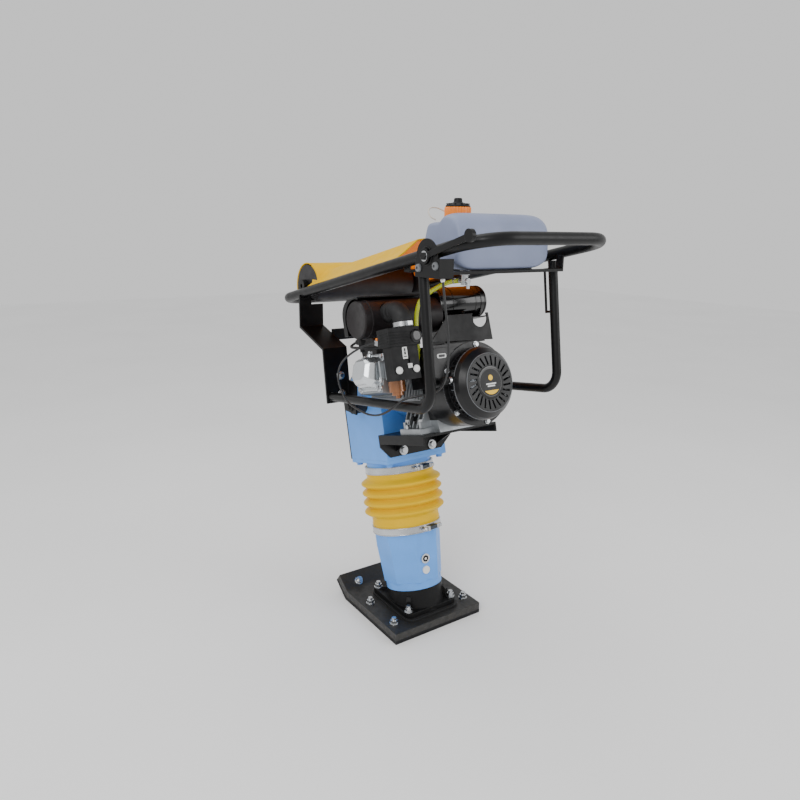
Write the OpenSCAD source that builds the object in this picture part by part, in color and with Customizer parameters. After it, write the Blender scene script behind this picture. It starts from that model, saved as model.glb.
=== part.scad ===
// Jumping jack rammer: an engine-driven tamping rammer on a sprung, leaning leg.
// +X points to the operator at the back, +Y to the machine's right, +Z up.
// The origin lies on the underside of the flat sole, in the machine's middle plane.

/* [Shoe] */
// Width of the tamping shoe
shoe_w = 286; // [270:2:344]
// Length of the flat part of the sole
sole_l = 266; // [250:2:320]
// Distance of the sole's heel behind the origin
heel_x = 150; // [140:1:180]
// Length of the turned-up toe
toe_l = 65; // [50:1:90]
// Angle of the toe above the ground
toe_angle = 36; // [20:1:45]
// Thickness of the steel sole plate
sole_t = 10; // [8:1:14]
// Thickness of the laminated shoe board
board_t = 21; // [16:1:28]
// Thickness of the rubber pad under the foot casting
gasket_t = 6; // [3:0.5:10]

/* [Leg] */
// Forward lean of the leg, in degrees
lean = 14.6; // [10:0.1:18]
// Place where the leg axis meets the ground
leg_x = 50.3; // [40:0.1:60]
// Height of the foot casting's top along the leg
foot_s = 85; // [80:1:100]
// Radius of the foot casting's round neck
foot_r = 78.4; // [76:0.1:84]
// Length of the lower cylinder along the leg
cyl_l = 185; // [180:1:210]
// Half width across the flats at the lower cylinder's top
cyl_top = 88; // [86:0.5:92]
// Half width across the flats at the lower cylinder's foot
cyl_foot = 76.5; // [75:0.5:82]
// Radius of the bore in the lower cylinder
cyl_bore = 70; // [69:0.5:73]
// Radius of the spring cylinder's outside
spring_cyl_r = 60; // [56:0.5:62]
// Wall of the spring cylinder
spring_cyl_wall = 8; // [6:0.5:12]
// Radial running clearance of sliding and turning fits
run_gap = 0.05; // [0.02:0.01:0.1]
// Half of the leg's travel between its stops
leg_travel = 30; // [20:1:36]

/* [Bellows] */
// Radius of the bellows at its bulges
bellows_r = 112.7; // [106:0.1:118]
// Radius of the bellows at its valleys
bellows_valley = 97; // [95.5:0.1:100]
// Distance from one bulge to the next
bellows_pitch = 26.3; // [22:0.1:28]
// Number of bulges
bellows_n = 4; // [3:1:5]
// Radius of the bellows' end cuffs
cuff_r = 94; // [93.5:0.1:95]
// Wall of the bellows
bellows_wall = 3; // [2:0.1:3.5]
// Width of the hose clamps
clamp_w = 20; // [14:1:22]

/* [Crankcase] */
// Height of the crankcase flange's underside along the leg
flange_s = 444; // [436:1:456]
// Thickness of the crankcase flange
flange_t = 9.5; // [8:0.5:14]
// Half width of the crankcase across the machine
case_y = 96; // [94:1:110]
// Front face of the crankcase, before the leg axis
case_front = 91.6; // [90:0.1:104]
// Rear face of the crankcase, behind the leg axis
case_rear = 99.2; // [98:0.1:104]
// Wall of the crankcase
case_wall = 8; // [6:0.5:10]
// Gear module
gear_m = 2.5; // [2.4:0.1:2.6]
// Teeth of the crank gear
gear_teeth = 54; // [52:2:56]
// Teeth of the clutch pinion
pinion_teeth = 16; // [16:2:18]
// Throw of the crank pin
crank_throw = 20; // [14:1:21]

/* [Engine] */
// Height of the engine crankshaft along the leg
engine_s = 632; // [630:1:640]
// Height of the crankshaft above the engine's base
engine_base = 106; // [100:1:106]
// Outer face of the recoil starter, behind the leg axis
starter_w = 430; // [424:1:440]
// Distance of the cylinder's middle behind the leg axis
cylinder_w = 250; // [246:1:254]
// Tilt of the engine cylinder above level
cylinder_tilt = 15.3; // [12:0.1:18]
// Reach of the valve cover from the crankshaft
head_reach = 246; // [240:1:252]
// Radius of the flywheel
flywheel_r = 78; // [70:1:82]

/* [Handle] */
// Slope of the handle loop, rear end high
handle_slope = 12.3; // [8:0.1:15]
// Height of the handle's centre plane above the origin
handle_z = 938.4; // [920:1:960]
// Reach of the loop in front of the origin, along the slope
handle_front = 421; // [410:1:440]
// Reach of the loop behind the origin, along the slope
handle_rear = 482; // [460:1:500]
// Distance between the centre lines of the side tubes
handle_w = 378; // [374:1:400]
// Outside diameter of the handle tube
handle_d = 26; // [24:0.5:28]
// Outside diameter of the side frame tube
frame_d = 22; // [20:0.5:24]
// Wall of the steel tubes
tube_wall = 2; // [1.5:0.5:3]
// Radius of the loop's corner bends
corner_r = 85; // [60:1:95]

/* [Tank and filter] */
// Width of the fuel tank
tank_w = 260; // [240:2:264]
// Depth of the fuel tank at its widest
tank_l = 137; // [126:1:140]
// Height of the fuel tank
tank_h = 118; // [108:1:124]
// Wall of the fuel tank
tank_wall = 3; // [2:0.5:4]
// Radius of the fuel cap
cap_r = 29; // [27:0.5:32]
// Radius of the air filter housing
filter_r = 44; // [38:0.5:46]
// Radius of the transport roller
roller_r = 46; // [40:1:50]

/* [Hidden] */
$fn = 64;
eps = 0.01;

// Shoe
shoe_t = sole_t + board_t;
bend_x = heel_x - sole_l;
flange_top = shoe_t + gasket_t + 14;
shoe_bolt_r = 6;
bolt_gap = 0.3;
foot_x = 28;
foot_bolt_x = 76;
foot_bolt_y = 72;
outer_bolt_x = [-16, 104];
outer_bolt_y = shoe_w / 2 - 24;
toe_bolt_u = toe_l * 0.45;
toe_bolt_y = 95;

// Leg
cyl_s0 = foot_s + 19;
cyl_s1 = foot_s + cyl_l - 27;
cyl_end = foot_s + cyl_l;
seat_r = cuff_r - bellows_wall - 0.3;
spring_bore = spring_cyl_r - spring_cyl_wall;
spring_top = foot_s + 275;
guide_s0 = foot_s + 145;
rod_r = 14;
piston_s = foot_s + 115;
piston_h = 24;
wire_r = 4;
coil_r = 38;
coil_sides = 8;
coil_steps = 14;

// Bellows
bulge_s0 = 303.8;
lower_clamp_s = cyl_end - 27;
upper_clamp_s = flange_s - 33;
bellows_s0 = lower_clamp_s;
bellows_s1 = upper_clamp_s + clamp_w;

// Crankcase
case_s = flange_s + flange_t;
gear_s = engine_s - gear_m * (gear_teeth + pinion_teeth) / 2;
pin_s = gear_s - crank_throw;
rod_len = 65.5;
wrist_s = pin_s - rod_len;
gear_w0 = 24;
gear_w1 = 44;
conrod_half = 10;
fork_gap = 1;
fork_wall = 8;
fork_half_y = 13;
bearing_r = 36;
shaft_r = 20;
pinion_shaft_r = 10;
pinion_bearing_r = 24;
case_top = engine_s + 62;
adapter_r = 72;
adapter_end = 178;
drum_r = 55;

// Engine
base_s = engine_s - engine_base;
block_w0 = adapter_end + 2;
block_w1 = 300;
block_r = 80;
crank_r = 12;
flywheel_w = block_w1 + 8;
blower_w1 = starter_w - 50;
blower_r = 99;
blower_y = 126;
sheet = 3;
intake_w = 338;

// Handle, side frames and cover
handle_r = handle_d / 2;
frame_r = frame_d / 2;
side_y = handle_w / 2;
frame_slope = 8.3;
frame_x = 338;
frame_z = 687;
post_h = 317 - handle_r;
frame_l = 443;
bend_r = 45;
strap_w = 71;
strap_out = 14;
strap_in = side_y + strap_out - strap_w;
strap_t = 6;
roller_x = -268;
roller_z = 20;
roller_half = 156;
hood_x = -265;
hood_z = 15;
hood_r = roller_r + 20;
hood_t = 3;
hood_rear = 208;

// Tank
tank_x1 = 340;
tank_x0 = tank_x1 - tank_l;
tank_z0 = 972;
tank_z1 = tank_z0 + tank_h;
cap_x = 240;
cap_y = -58;
ledge_z = tank_z1 - 18;
petcock_x = 298;
petcock_y = -80;
spout_l = 20;

// Filter
filter_w = 260;
filter_s = 812;
canister_r = filter_r - 4;
canister_s = 838;
filter_left = 228;
filter_right = 135;
elbow_w = 354;
elbow_y = -168;
elbow_r = 22;

// Routes of the cable, the leads and the hose, as chosen by hand
throttle_route = [[366, -192, 962], [370, -192, 940], [377, -191, 900], [380, -186, 855],
    [375, -179, 812], [362, -171, 768], [337, -165, 734], [302, -163, 713], [272, -172, 703],
    [248, -196, 693], [225, -216, 668], [190, -222, 648], [148, -224, 638], [108, -226, 639],
    [58, -229, 648], [30, -232, 672], [22, -236, 702], [38, -240, 734], [70, -240, 762],
    [112, -232, 788], [146, -218, 805], [158, -212, 806]];
throttle_r = 2.5;
lead_route = [[46, -196, 790], [36, -198, 786], [34, -206, 780], [46, -211, 779], [66, -211, 781],
    [92, -209, 784], [118, -205, 787], [138, -191, 790], [148, -168, 790], [150, -140, 786]];
lead_r = 3;
hose_route = [[277.5, -80, 948], [266, -84, 947], [246, -100, 938], [218, -116, 918],
    [198, -124, 898], [192, -128, 870], [195, -130, 840], [202, -130, 800], [206, -133, 768],
    [204, -140, 748]];
hose_r = 5;
tether_route = [[214, -74, 1094], [210, -92, 1101], [213, -112, 1100], [222, -124, 1092],
    [230, -123, 1081], [234, -112, 1075]];
tether_r = 1.5;

blue = "#7db4f5";
black = "#1c1c1e";
steel = "#a9adb2";
cast = "#b9bec2";

// ---------- frames and helpers ----------
// Leg frame: X is rearward across the leg, Z runs up the leg
module leg() { translate([leg_x, 0, 0]) rotate([0, -lean, 0]) children(); }
// Handle frame: X runs rearward up the slope, Z is square to it
module handle() { translate([0, 0, handle_z]) rotate([0, -handle_slope, 0]) children(); }
// Side frame: X along the bottom tube, Z along the post, at its lower rear corner
module side_frame() { translate([frame_x, 0, frame_z]) rotate([0, -frame_slope, 0]) children(); }
// Engine cylinder frame: Z runs out along the cylinder from the crankshaft
module barrel_at() { translate([cylinder_w, 0, engine_s]) rotate([90 - cylinder_tilt, 0, 0]) children(); }
module barrel() { leg() barrel_at() children(); }
// Turns a cylinder so that it runs rearward from w
module along_w(w, y, s) { translate([w, y, s]) rotate([0, 90, 0]) children(); }
// Turns a cylinder so that it runs to the machine's left from y
module along_left(x, y, z) { translate([x, y, z]) rotate([90, 0, 0]) children(); }
// Extrudes an outline drawn in Y and the leg's height, from w0 to w1
module slab_w(w0, w1) { translate([w0, 0, 0]) rotate([90, 0, 90]) linear_extrude(w1 - w0) children(); }
// Extrudes an outline drawn in X and Z, over the width w about the middle plane
module slab_y(w) { rotate([90, 0, 0]) linear_extrude(w, center = true) children(); }
module ring(r_out, r_in, h) {
    difference() {
        cylinder(r = r_out, h = h);
        translate([0, 0, -1]) cylinder(r = r_in, h = h + 2);
    }
}
module box(x, y, z) { translate([x[0], y[0], z[0]]) cube([x[1] - x[0], y[1] - y[0], z[1] - z[0]]); }
module hex_head(r, h) { cylinder(r = r, h = h, $fn = 6); }
module both_sides() { for (side = [-1, 1]) scale([1, side, 1]) children(); }

// Straight tube between the ends of two bends, and a quarter bend of the same tube
module pipe(r, wall, l) { ring(r, r - wall, l); }
module quarter(r, wall, bend) {
    rotate_extrude(angle = 90) translate([bend, 0]) difference() { circle(r, $fn = 32); circle(r - wall, $fn = 32); }
}

// Point on a smooth curve through p1 and p2, led by their neighbours
function curve_point(p0, p1, p2, p3, t) = 0.5 * (2 * p1 + (p2 - p0) * t
    + (2 * p0 - 5 * p1 + 4 * p2 - p3) * t * t + (3 * p1 - p0 - 3 * p2 + p3) * t * t * t);
function smooth(p, n) = [for (i = [0:len(p) - 2]) for (k = [0:n - 1])
    curve_point(p[max(i - 1, 0)], p[i], p[i + 1], p[min(i + 2, len(p) - 1)], k / n), p[len(p) - 1]];
function unit(v) = v / norm(v);
function heading(p, i) = unit(p[min(i + 1, len(p) - 1)] - p[max(i - 1, 0)]);
function square_to(ref, t) = unit(ref - (ref * t) * t);
function ring_points(c, t, ref, r, m) = let (n = square_to(ref, t), b = cross(t, n))
    [for (j = [0:m - 1]) c + r * (cos(360 * j / m) * n + sin(360 * j / m) * b)];
// Round cord swept along a path; ref is never parallel to the path
module cord(p, r, m, ref) {
    last = (len(p) - 1) * m;
    points = [for (i = [0:len(p) - 1]) each ring_points(p[i], heading(p, i), ref, r, m)];
    sides = [for (i = [0:len(p) - 2]) for (j = [0:m - 1]) let (a = i * m + j, b = i * m + (j + 1) % m)
        each [[a, a + m, b + m], [a, b + m, b]]];
    caps = [[for (j = [0:m - 1]) j], [for (j = [m - 1:-1:0]) last + j]];
    polyhedron(points, concat(sides, caps), convexity = 10);
}

// ---------- shoe ----------
function toe_bend(t) = [bend_x + t * tan(toe_angle / 2), t];
function toe_end(t) = [bend_x - toe_l * cos(toe_angle) + t * sin(toe_angle),
    toe_l * sin(toe_angle) + t * cos(toe_angle)];
module shoe_layer(t0, t1) {
    slab_y(shoe_w) polygon([[heel_x, t0], toe_bend(t0), toe_end(t0), toe_end(t1), toe_bend(t1), [heel_x, t1]]);
}
module toe_place(y) {
    translate([bend_x - toe_bolt_u * cos(toe_angle), y, toe_bolt_u * sin(toe_angle)])
        rotate([0, toe_angle, 0]) children();
}
module foot_places() {
    for (x = [-1, 1], y = [-1, 1]) translate([foot_x + x * foot_bolt_x, y * foot_bolt_y, 0]) children();
}
module outer_places() { for (x = outer_bolt_x, y = [-1, 1]) translate([x, y * outer_bolt_y, 0]) children(); }
module toe_places() { for (y = [-1, 1]) toe_place(y * toe_bolt_y) children(); }
module bolt_way(top) {
    translate([0, 0, -1]) cylinder(r = shoe_bolt_r + bolt_gap, h = top + 2, $fn = 32);
    translate([0, 0, -1]) cylinder(r = 11, h = 6, $fn = 32);
}
// Countersunk stud from below with a washer and a flange nut above
module shoe_bolt(top) {
    translate([0, 0, 1]) cylinder(r = 10.7, h = 4, $fn = 32);
    translate([0, 0, 4]) cylinder(r = shoe_bolt_r, h = top + 14, $fn = 32);
    translate([0, 0, top]) cylinder(r = 12, h = 2.5, $fn = 32);
    translate([0, 0, top + 2]) hex_head(10, 9);
}
module sole_plate() {
    color("#3a3a3c") difference() {
        shoe_layer(0, sole_t);
        foot_places() bolt_way(sole_t);
        outer_places() bolt_way(sole_t);
        toe_places() bolt_way(sole_t);
    }
}
module shoe_board() {
    color("#2b2724") difference() {
        shoe_layer(sole_t, shoe_t);
        foot_places() bolt_way(shoe_t);
        outer_places() bolt_way(shoe_t);
        toe_places() bolt_way(shoe_t);
    }
}
module shoe_bolts() {
    color(steel) {
        foot_places() shoe_bolt(flange_top);
        outer_places() shoe_bolt(shoe_t);
        toe_places() shoe_bolt(shoe_t);
    }
}
module pad_outline(x, y, r) {
    box([-x, x], [r - y, y - r], [0, 1]);
    box([r - x, x - r], [-y, y], [0, 1]);
    for (a = [-1, 1], b = [-1, 1]) translate([a * (x - r), b * (y - r), 0]) cylinder(r = r, h = 1);
}
module foot_gasket() {
    color("#151515") difference() {
        translate([foot_x + 4, 0, shoe_t]) scale([1, 1, gasket_t]) pad_outline(98, 88, 22);
        foot_places() bolt_way(flange_top);
    }
}
module foot_casting() {
    z0 = shoe_t + gasket_t;
    color(black) difference() {
        union() {
            translate([foot_x, 0, z0]) scale([1, 1, flange_top - z0]) pad_outline(92, 84, 18);
            intersection() {
                leg() translate([0, 0, -60]) cylinder(r = foot_r, h = foot_s + 60);
                box([-200, 260], [-200, 200], [z0, 200]);
            }
            for (a = [45:90:315]) intersection() {
                translate([foot_x, 0, 0]) rotate([0, 0, a]) slab_y(12)
                    polygon([[40, z0], [110, z0], [110, flange_top + 2], [84, 82], [40, 82]]);
                leg() translate([0, 0, -60]) cylinder(r = 118, h = foot_s + 52);
            }
        }
        foot_places() {
            bolt_way(flange_top);
            translate([0, 0, flange_top]) cylinder(r = 13, h = 30, $fn = 32);
        }
    }
}

// ---------- lower leg ----------
function flat_w(s) = cyl_foot + (cyl_top - cyl_foot) * (s - cyl_s0) / (cyl_s1 - cyl_s0);
taper = atan((cyl_top - cyl_foot) / (cyl_s1 - cyl_s0));
sight_y = -8;
sight_s = foot_s + 84;
plug_s = foot_s + 52;
module facet_place(s) { leg() translate([flat_w(s), sight_y, s]) rotate([0, 90 + taper, 0]) children(); }
// Slab between two opposite facets, turned by an angle about the leg
module two_facets(angle) {
    rotate([0, 0, angle]) slab_y(220)
        polygon([[-cyl_foot, cyl_s0], [cyl_foot, cyl_s0], [cyl_top, cyl_s1], [-cyl_top, cyl_s1]]);
}
module lower_cylinder() {
    color(blue) difference() {
        leg() difference() {
            union() {
                intersection() {
                    two_facets(0);
                    two_facets(45);
                    two_facets(90);
                    two_facets(135);
                    translate([0, 0, cyl_s0]) cylinder(r = cyl_top + 4, h = cyl_s1 - cyl_s0);
                }
                translate([0, 0, foot_s]) cylinder(r = cyl_foot + 1.6, h = cyl_s0 - foot_s + 1);
                translate([0, 0, cyl_s1 - 1]) cylinder(r = seat_r, h = cyl_end - cyl_s1 + 1);
            }
            translate([0, 0, foot_s - 1]) cylinder(r = cyl_bore, h = cyl_l + 2);
        }
        facet_place(sight_s) translate([0, 0, -30]) cylinder(r = 10 + bolt_gap, h = 40, $fn = 32);
        facet_place(plug_s) translate([0, 0, -30]) cylinder(r = 7 + bolt_gap, h = 40, $fn = 32);
    }
}
module oil_sight() {
    color("#c9ccd0") facet_place(sight_s) {
        difference() {
            union() {
                cylinder(r = 13.5, h = 4);
                translate([0, 0, -5]) cylinder(r = 10, h = 5.5);
            }
            translate([0, 0, 2]) cylinder(r = 9, h = 3);
        }
    }
}
module drain_plug() {
    color("#cfe0f2") facet_place(plug_s) {
        cylinder(r = 11, h = 4);
        translate([0, 0, -5]) cylinder(r = 7, h = 5.5);
    }
}
module spring_cylinder() {
    color(steel) leg() difference() {
        union() {
            translate([0, 0, foot_s]) cylinder(r = cyl_bore - 0.2, h = 8);
            translate([0, 0, foot_s]) cylinder(r = spring_cyl_r, h = spring_top - foot_s);
        }
        translate([0, 0, foot_s + 12]) cylinder(r = spring_bore, h = spring_top - foot_s - 24);
        translate([0, 0, spring_top - 20]) cylinder(r = rod_r + run_gap, h = 30);
    }
}
module coil(s0, s1, turns) {
    steps = turns * coil_steps;
    path = [for (i = [0:steps]) [coil_r * cos(360 * i / coil_steps), coil_r * sin(360 * i / coil_steps),
        s0 + wire_r + 0.5 + (s1 - s0 - 2 * wire_r - 1) * i / steps]];
    cord(path, wire_r, coil_sides, [0, 0, 1]);
}
module rammer_springs() {
    color("#8d9299") leg() {
        coil(foot_s + 12, piston_s, 6);
        coil(piston_s + piston_h, spring_top - 12, 7);
    }
}

// ---------- clamps and bellows ----------
// Band with a sprung T-bolt at the back of the leg
module clamp(s) {
    leg() translate([0, 0, s]) {
        ring(cuff_r + 2.2, cuff_r + 0.1, clamp_w);
        rotate([0, 0, 9]) for (y = [-22, 12]) translate([cuff_r - 0.2, y, 4]) cube([17, 8, clamp_w - 8]);
        rotate([0, 0, 9]) along_left(cuff_r + 11, 32, clamp_w / 2) cylinder(r = 3.5, h = 68, $fn = 24);
        rotate([0, 0, 9]) along_left(cuff_r + 11, 30, clamp_w / 2) cylinder(r = 6, h = 9, $fn = 24);
    }
}
module lower_clamp() { color(steel) clamp(lower_clamp_s); }
module upper_clamp() { color(steel) clamp(upper_clamp_s); }
function bulge(s) = pow(0.5 + 0.5 * cos(360 * (s - bulge_s0) / bellows_pitch), 0.7);
function bellows_at(s, first, last) = s < first || s > last ? cuff_r
    : bellows_valley + (bellows_r - bellows_valley) * bulge(s);
module bellows() {
    first = bulge_s0 - bellows_pitch / 2;
    last = first + bellows_n * bellows_pitch;
    steps = 10 * bellows_n;
    wave = [for (i = [0:steps]) let (s = first + (last - first) * i / steps) [bellows_at(s, first, last), s]];
    outer = concat([[cuff_r, bellows_s0]], [[cuff_r, first - 2]], wave, [[cuff_r, last + 2]], [[cuff_r, bellows_s1]]);
    inner = [for (i = [len(outer) - 1:-1:0]) outer[i] - [bellows_wall, 0]];
    color("#ffe11a") leg() rotate_extrude() polygon(concat(outer, inner));
}

// ---------- crankcase and drive ----------
module guide_cylinder() {
    color(blue) leg() difference() {
        union() {
            box([-case_front, case_rear], [-case_y, case_y], [flange_s, case_s]);
            translate([0, 0, upper_clamp_s - 15]) cylinder(r = seat_r, h = flange_s - upper_clamp_s + 16);
            translate([0, 0, guide_s0]) cylinder(r = spring_cyl_r + 7, h = flange_s - guide_s0 + 1);
        }
        difference() {
            translate([0, 0, upper_clamp_s - 20]) cylinder(r = seat_r - 7, h = flange_s - upper_clamp_s + 20 - eps);
            translate([0, 0, guide_s0]) cylinder(r = spring_cyl_r + 7, h = 300);
        }
        translate([0, 0, guide_s0 - 1]) cylinder(r = spring_cyl_r + run_gap, h = 400);
        flange_places() translate([0, 0, flange_s - 1]) cylinder(r = 5 + bolt_gap, h = 40, $fn = 32);
    }
}
module flange_places() { for (w = [-75, 84], y = [-82, 82]) translate([w, y, 0]) children(); }
bracket_bolt_s = case_s + 22.5;
bracket_bolt_y = 47;
module bracket_places() {
    for (y = [-bracket_bolt_y, bracket_bolt_y]) along_w(case_rear, y, bracket_bolt_s) children();
}
module case_outline(inset) {
    half = case_y - inset;
    polygon([[-half, case_s + inset], [half, case_s + inset], [half, engine_s + 8],
        [54 - inset / 2, case_top - inset], [inset / 2 - 54, case_top - inset], [-half, engine_s + 8]]);
}
mount_w = 12;
mount_s = 608;
module crankcase() {
    color(blue) leg() difference() {
        union() {
            difference() {
                slab_w(-case_front, case_rear) case_outline(0);
                slab_w(-case_front - 1, case_rear - case_wall) case_outline(case_wall);
            }
            along_w(50, 0, gear_s) cylinder(r = bearing_r + 7, h = case_rear - 50);
            along_w(70, 0, engine_s) cylinder(r = pinion_bearing_r + 5, h = case_rear - 70);
            along_w(case_rear - 1, 0, engine_s) cylinder(r = adapter_r, h = adapter_end - case_rear + 1);
            for (w = [-75, 84], y = [-82, 82]) translate([w, y, case_s + 1]) cylinder(r = 10, h = 24);
            both_sides() along_left(mount_w, -case_y + case_wall + 10, mount_s) cylinder(r = 16, h = 12);
        }
        translate([0, 0, case_s - 1]) cylinder(r = spring_cyl_r - 2, h = case_wall + 2);
        along_w(56, 0, gear_s) cylinder(r = bearing_r, h = 26);
        along_w(40, 0, gear_s) cylinder(r = shaft_r + 4, h = 52);
        along_w(76, 0, engine_s) cylinder(r = pinion_bearing_r, h = 18);
        along_w(60, 0, engine_s) cylinder(r = pinion_shaft_r + 3, h = 60);
        along_w(case_rear, 0, engine_s) cylinder(r = adapter_r - 6, h = 100);
        flange_places() translate([0, 0, case_s - 1]) cylinder(r = 5, h = 20, $fn = 32);
        bracket_places() translate([0, 0, -case_wall - 2]) cylinder(r = 5, h = case_wall + 4, $fn = 32);
        both_sides() along_left(mount_w, -case_y + 22, mount_s) cylinder(r = 5, h = 24, $fn = 32);
    }
}
module crankcase_cover() {
    color(black) leg() {
        slab_w(-case_front - 6, -case_front) case_outline(0);
        slab_w(-case_front, -case_front + 4) case_outline(case_wall + 0.2);
    }
}
module crank_bearings() {
    color(steel) leg() {
        along_w(56, 0, gear_s) ring(bearing_r - 0.02, shaft_r + run_gap, 24);
        along_w(77, 0, engine_s) ring(pinion_bearing_r - 0.02, pinion_shaft_r + run_gap, 15);
    }
}
// Hex flange bolts of the crankcase foot and of the engine bracket
module crankcase_bolts() {
    color(steel) leg() {
        flange_places() translate([0, 0, flange_s]) {
            translate([0, 0, -2]) cylinder(r = 11, h = 2, $fn = 32);
            translate([0, 0, -9]) hex_head(8.5, 8);
            translate([0, 0, -3]) cylinder(r = 4.9, h = flange_t + 20, $fn = 32);
        }
        bracket_places() {
            translate([0, 0, 6]) cylinder(r = 13, h = 3, $fn = 32);
            translate([0, 0, 8]) hex_head(9, 8);
            translate([0, 0, -8]) cylinder(r = 4.9, h = 16, $fn = 32);
        }
    }
}
// Outline of a gear with straight-sided teeth; a tooth points along +Y of the outline at angle 0
function gear_points(teeth) = let (r = gear_m * teeth / 2, pitch = 360 / teeth)
    [for (i = [0:teeth - 1]) each
        [for (k = [[-0.30, -1.2], [-0.13, 0.9], [0.13, 0.9], [0.30, -1.2]])
            let (a = (i + k[0]) * pitch, q = r + k[1] * gear_m) [q * cos(a), q * sin(a)]]];
module crank_gear() {
    color("#80868c") leg() {
        translate([0, 0, gear_s]) slab_w(gear_w0, gear_w1) polygon(gear_points(gear_teeth));
        along_w(gear_w1 - 1, 0, gear_s) cylinder(r = shaft_r, h = 41);
        along_w(-conrod_half - 4, 0, pin_s) cylinder(r = 11, h = gear_w0 + conrod_half + 5);
    }
}
module connecting_rod() {
    color("#9aa0a6") leg() difference() {
        slab_w(-conrod_half, conrod_half) {
            translate([0, pin_s]) circle(20);
            translate([0, wrist_s]) circle(12.5);
            polygon([[-9, wrist_s], [9, wrist_s], [13, pin_s], [-13, pin_s]]);
        }
        along_w(-20, 0, pin_s) cylinder(r = 11 + run_gap, h = 40);
        along_w(-20, 0, wrist_s) cylinder(r = 8, h = 40);
    }
}
fork_top = wrist_s + 13;
fork_base = wrist_s - 13 - 2 * crank_throw - 14;
module piston_rod() {
    fork_out = conrod_half + fork_gap + fork_wall;
    color("#b4b8bc") leg() {
        translate([0, 0, piston_s]) cylinder(r = spring_bore - run_gap, h = piston_h);
        translate([0, 0, piston_s + piston_h - 1]) cylinder(r = rod_r, h = fork_base - piston_s - piston_h + 2);
        difference() {
            box([-fork_out, fork_out], [-fork_half_y, fork_half_y], [fork_base, fork_top]);
            box([-conrod_half - fork_gap, conrod_half + fork_gap], [-50, 50], [fork_base + 13, fork_top + 1]);
            along_w(-40, 0, wrist_s) cylinder(r = 8, h = 80);
        }
    }
}
module clutch_drum() {
    color("#777c82") leg() {
        translate([0, 0, engine_s]) slab_w(gear_w0, gear_w1) polygon(gear_points(pinion_teeth));
        along_w(gear_w1 - 1, 0, engine_s) cylinder(r = pinion_shaft_r, h = 68);
        along_w(110, 0, engine_s) difference() {
            cylinder(r = drum_r, h = 40);
            translate([0, 0, 6]) cylinder(r = drum_r - 5, h = 40);
        }
    }
}

// ---------- engine ----------
module engine_bracket() {
    color(black) leg() difference() {
        union() {
            slab_w(case_rear, case_rear + 6) polygon([[-115, base_s], [-115, base_s - 33], [-88, case_s + 9],
                [78, case_s + 9], [115, base_s - 33], [115, base_s]]);
            box([case_rear, 300], [-115, 115], [base_s - 6, base_s]);
            box([case_rear, 300], [-115, -111], [base_s - 24, base_s]);
            box([case_rear, 300], [111, 115], [base_s - 24, base_s]);
            for (y = [-68, 68]) translate([0, y, 0]) slab_y(4)
                polygon([[case_rear + 5, base_s - 5], [case_rear + 5, base_s - 50], [case_rear + 110, base_s - 5]]);
        }
        bracket_places() translate([0, 0, -1]) cylinder(r = 5 + bolt_gap, h = 8, $fn = 32);
        engine_foot_places() translate([0, 0, -20]) cylinder(r = 4 + bolt_gap, h = 30, $fn = 32);
    }
}
module engine_foot_places() { for (w = [205, 262], y = [-88, 80]) translate([w, y, base_s]) children(); }
module engine_block() {
    color(cast) leg() difference() {
        union() {
            slab_w(block_w0, block_w1) {
                translate([0, engine_s]) circle(block_r);
                polygon([[-62, base_s], [62, base_s], [78, engine_s], [-78, engine_s]]);
            }
            box([190, 278], [-104, 96], [base_s, base_s + 14]);
            for (w = [196, 262]) box([w, w + 8], [-96, 88], [base_s, base_s + 30]);
            along_w(adapter_end, 0, engine_s) cylinder(r = adapter_r, h = 8);
        }
        slab_w(block_w0 + 12, block_w1 - 10) translate([0, engine_s]) circle(block_r - 9);
        along_w(adapter_end - 1, 0, engine_s) cylinder(r = crank_r + run_gap, h = 140);
        engine_foot_places() translate([0, 0, -1]) cylinder(r = 4 + bolt_gap, h = 40, $fn = 32);
        barrel_at() cylinder(r = 36, h = 120);
        barrel_at() translate([0, 0, 70]) cylinder(r = 44, h = 60);
    }
}
// Crankshaft with counterweight, centrifugal clutch shoes and fan flywheel
module engine_crank() {
    color("#8b9095") leg() {
        along_w(118, 0, engine_s) cylinder(r = crank_r, h = 250);
        along_w(120, 0, engine_s) cylinder(r = drum_r - 8, h = 26);
        translate([0, 0, engine_s]) slab_w(240, 256) polygon([[-16, 20], [16, 20], [36, -20], [40, -44], [0, -62],
            [-40, -44], [-36, -20]]);
        along_w(flywheel_w, 0, engine_s) cylinder(r = flywheel_r, h = 18);
        for (a = [0:18:342]) translate([flywheel_w + 17, 0, engine_s]) rotate([a, 0, 0])
            box([0, 20], [-1.5, 1.5], [38, 74]);
    }
}
fin_pitch = 8;
module cylinder_head() {
    bolt_reach = head_reach - 42;
    color(cast) barrel() difference() {
        union() {
            translate([0, 0, 70]) cylinder(r = 44, h = bolt_reach - 70);
            for (z = [96:fin_pitch:bolt_reach - 34]) box([-55, 46], [-50, 54], [z, z + 3]);
            box([-50, 48], [-46, 46], [bolt_reach - 30, bolt_reach]);
            box([30, intake_w - 40 - cylinder_w], [-22, 26], [bolt_reach - 44, bolt_reach - 6]);
        }
        translate([0, 0, 69]) cylinder(r = 34, h = bolt_reach - 112);
    }
}
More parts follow.
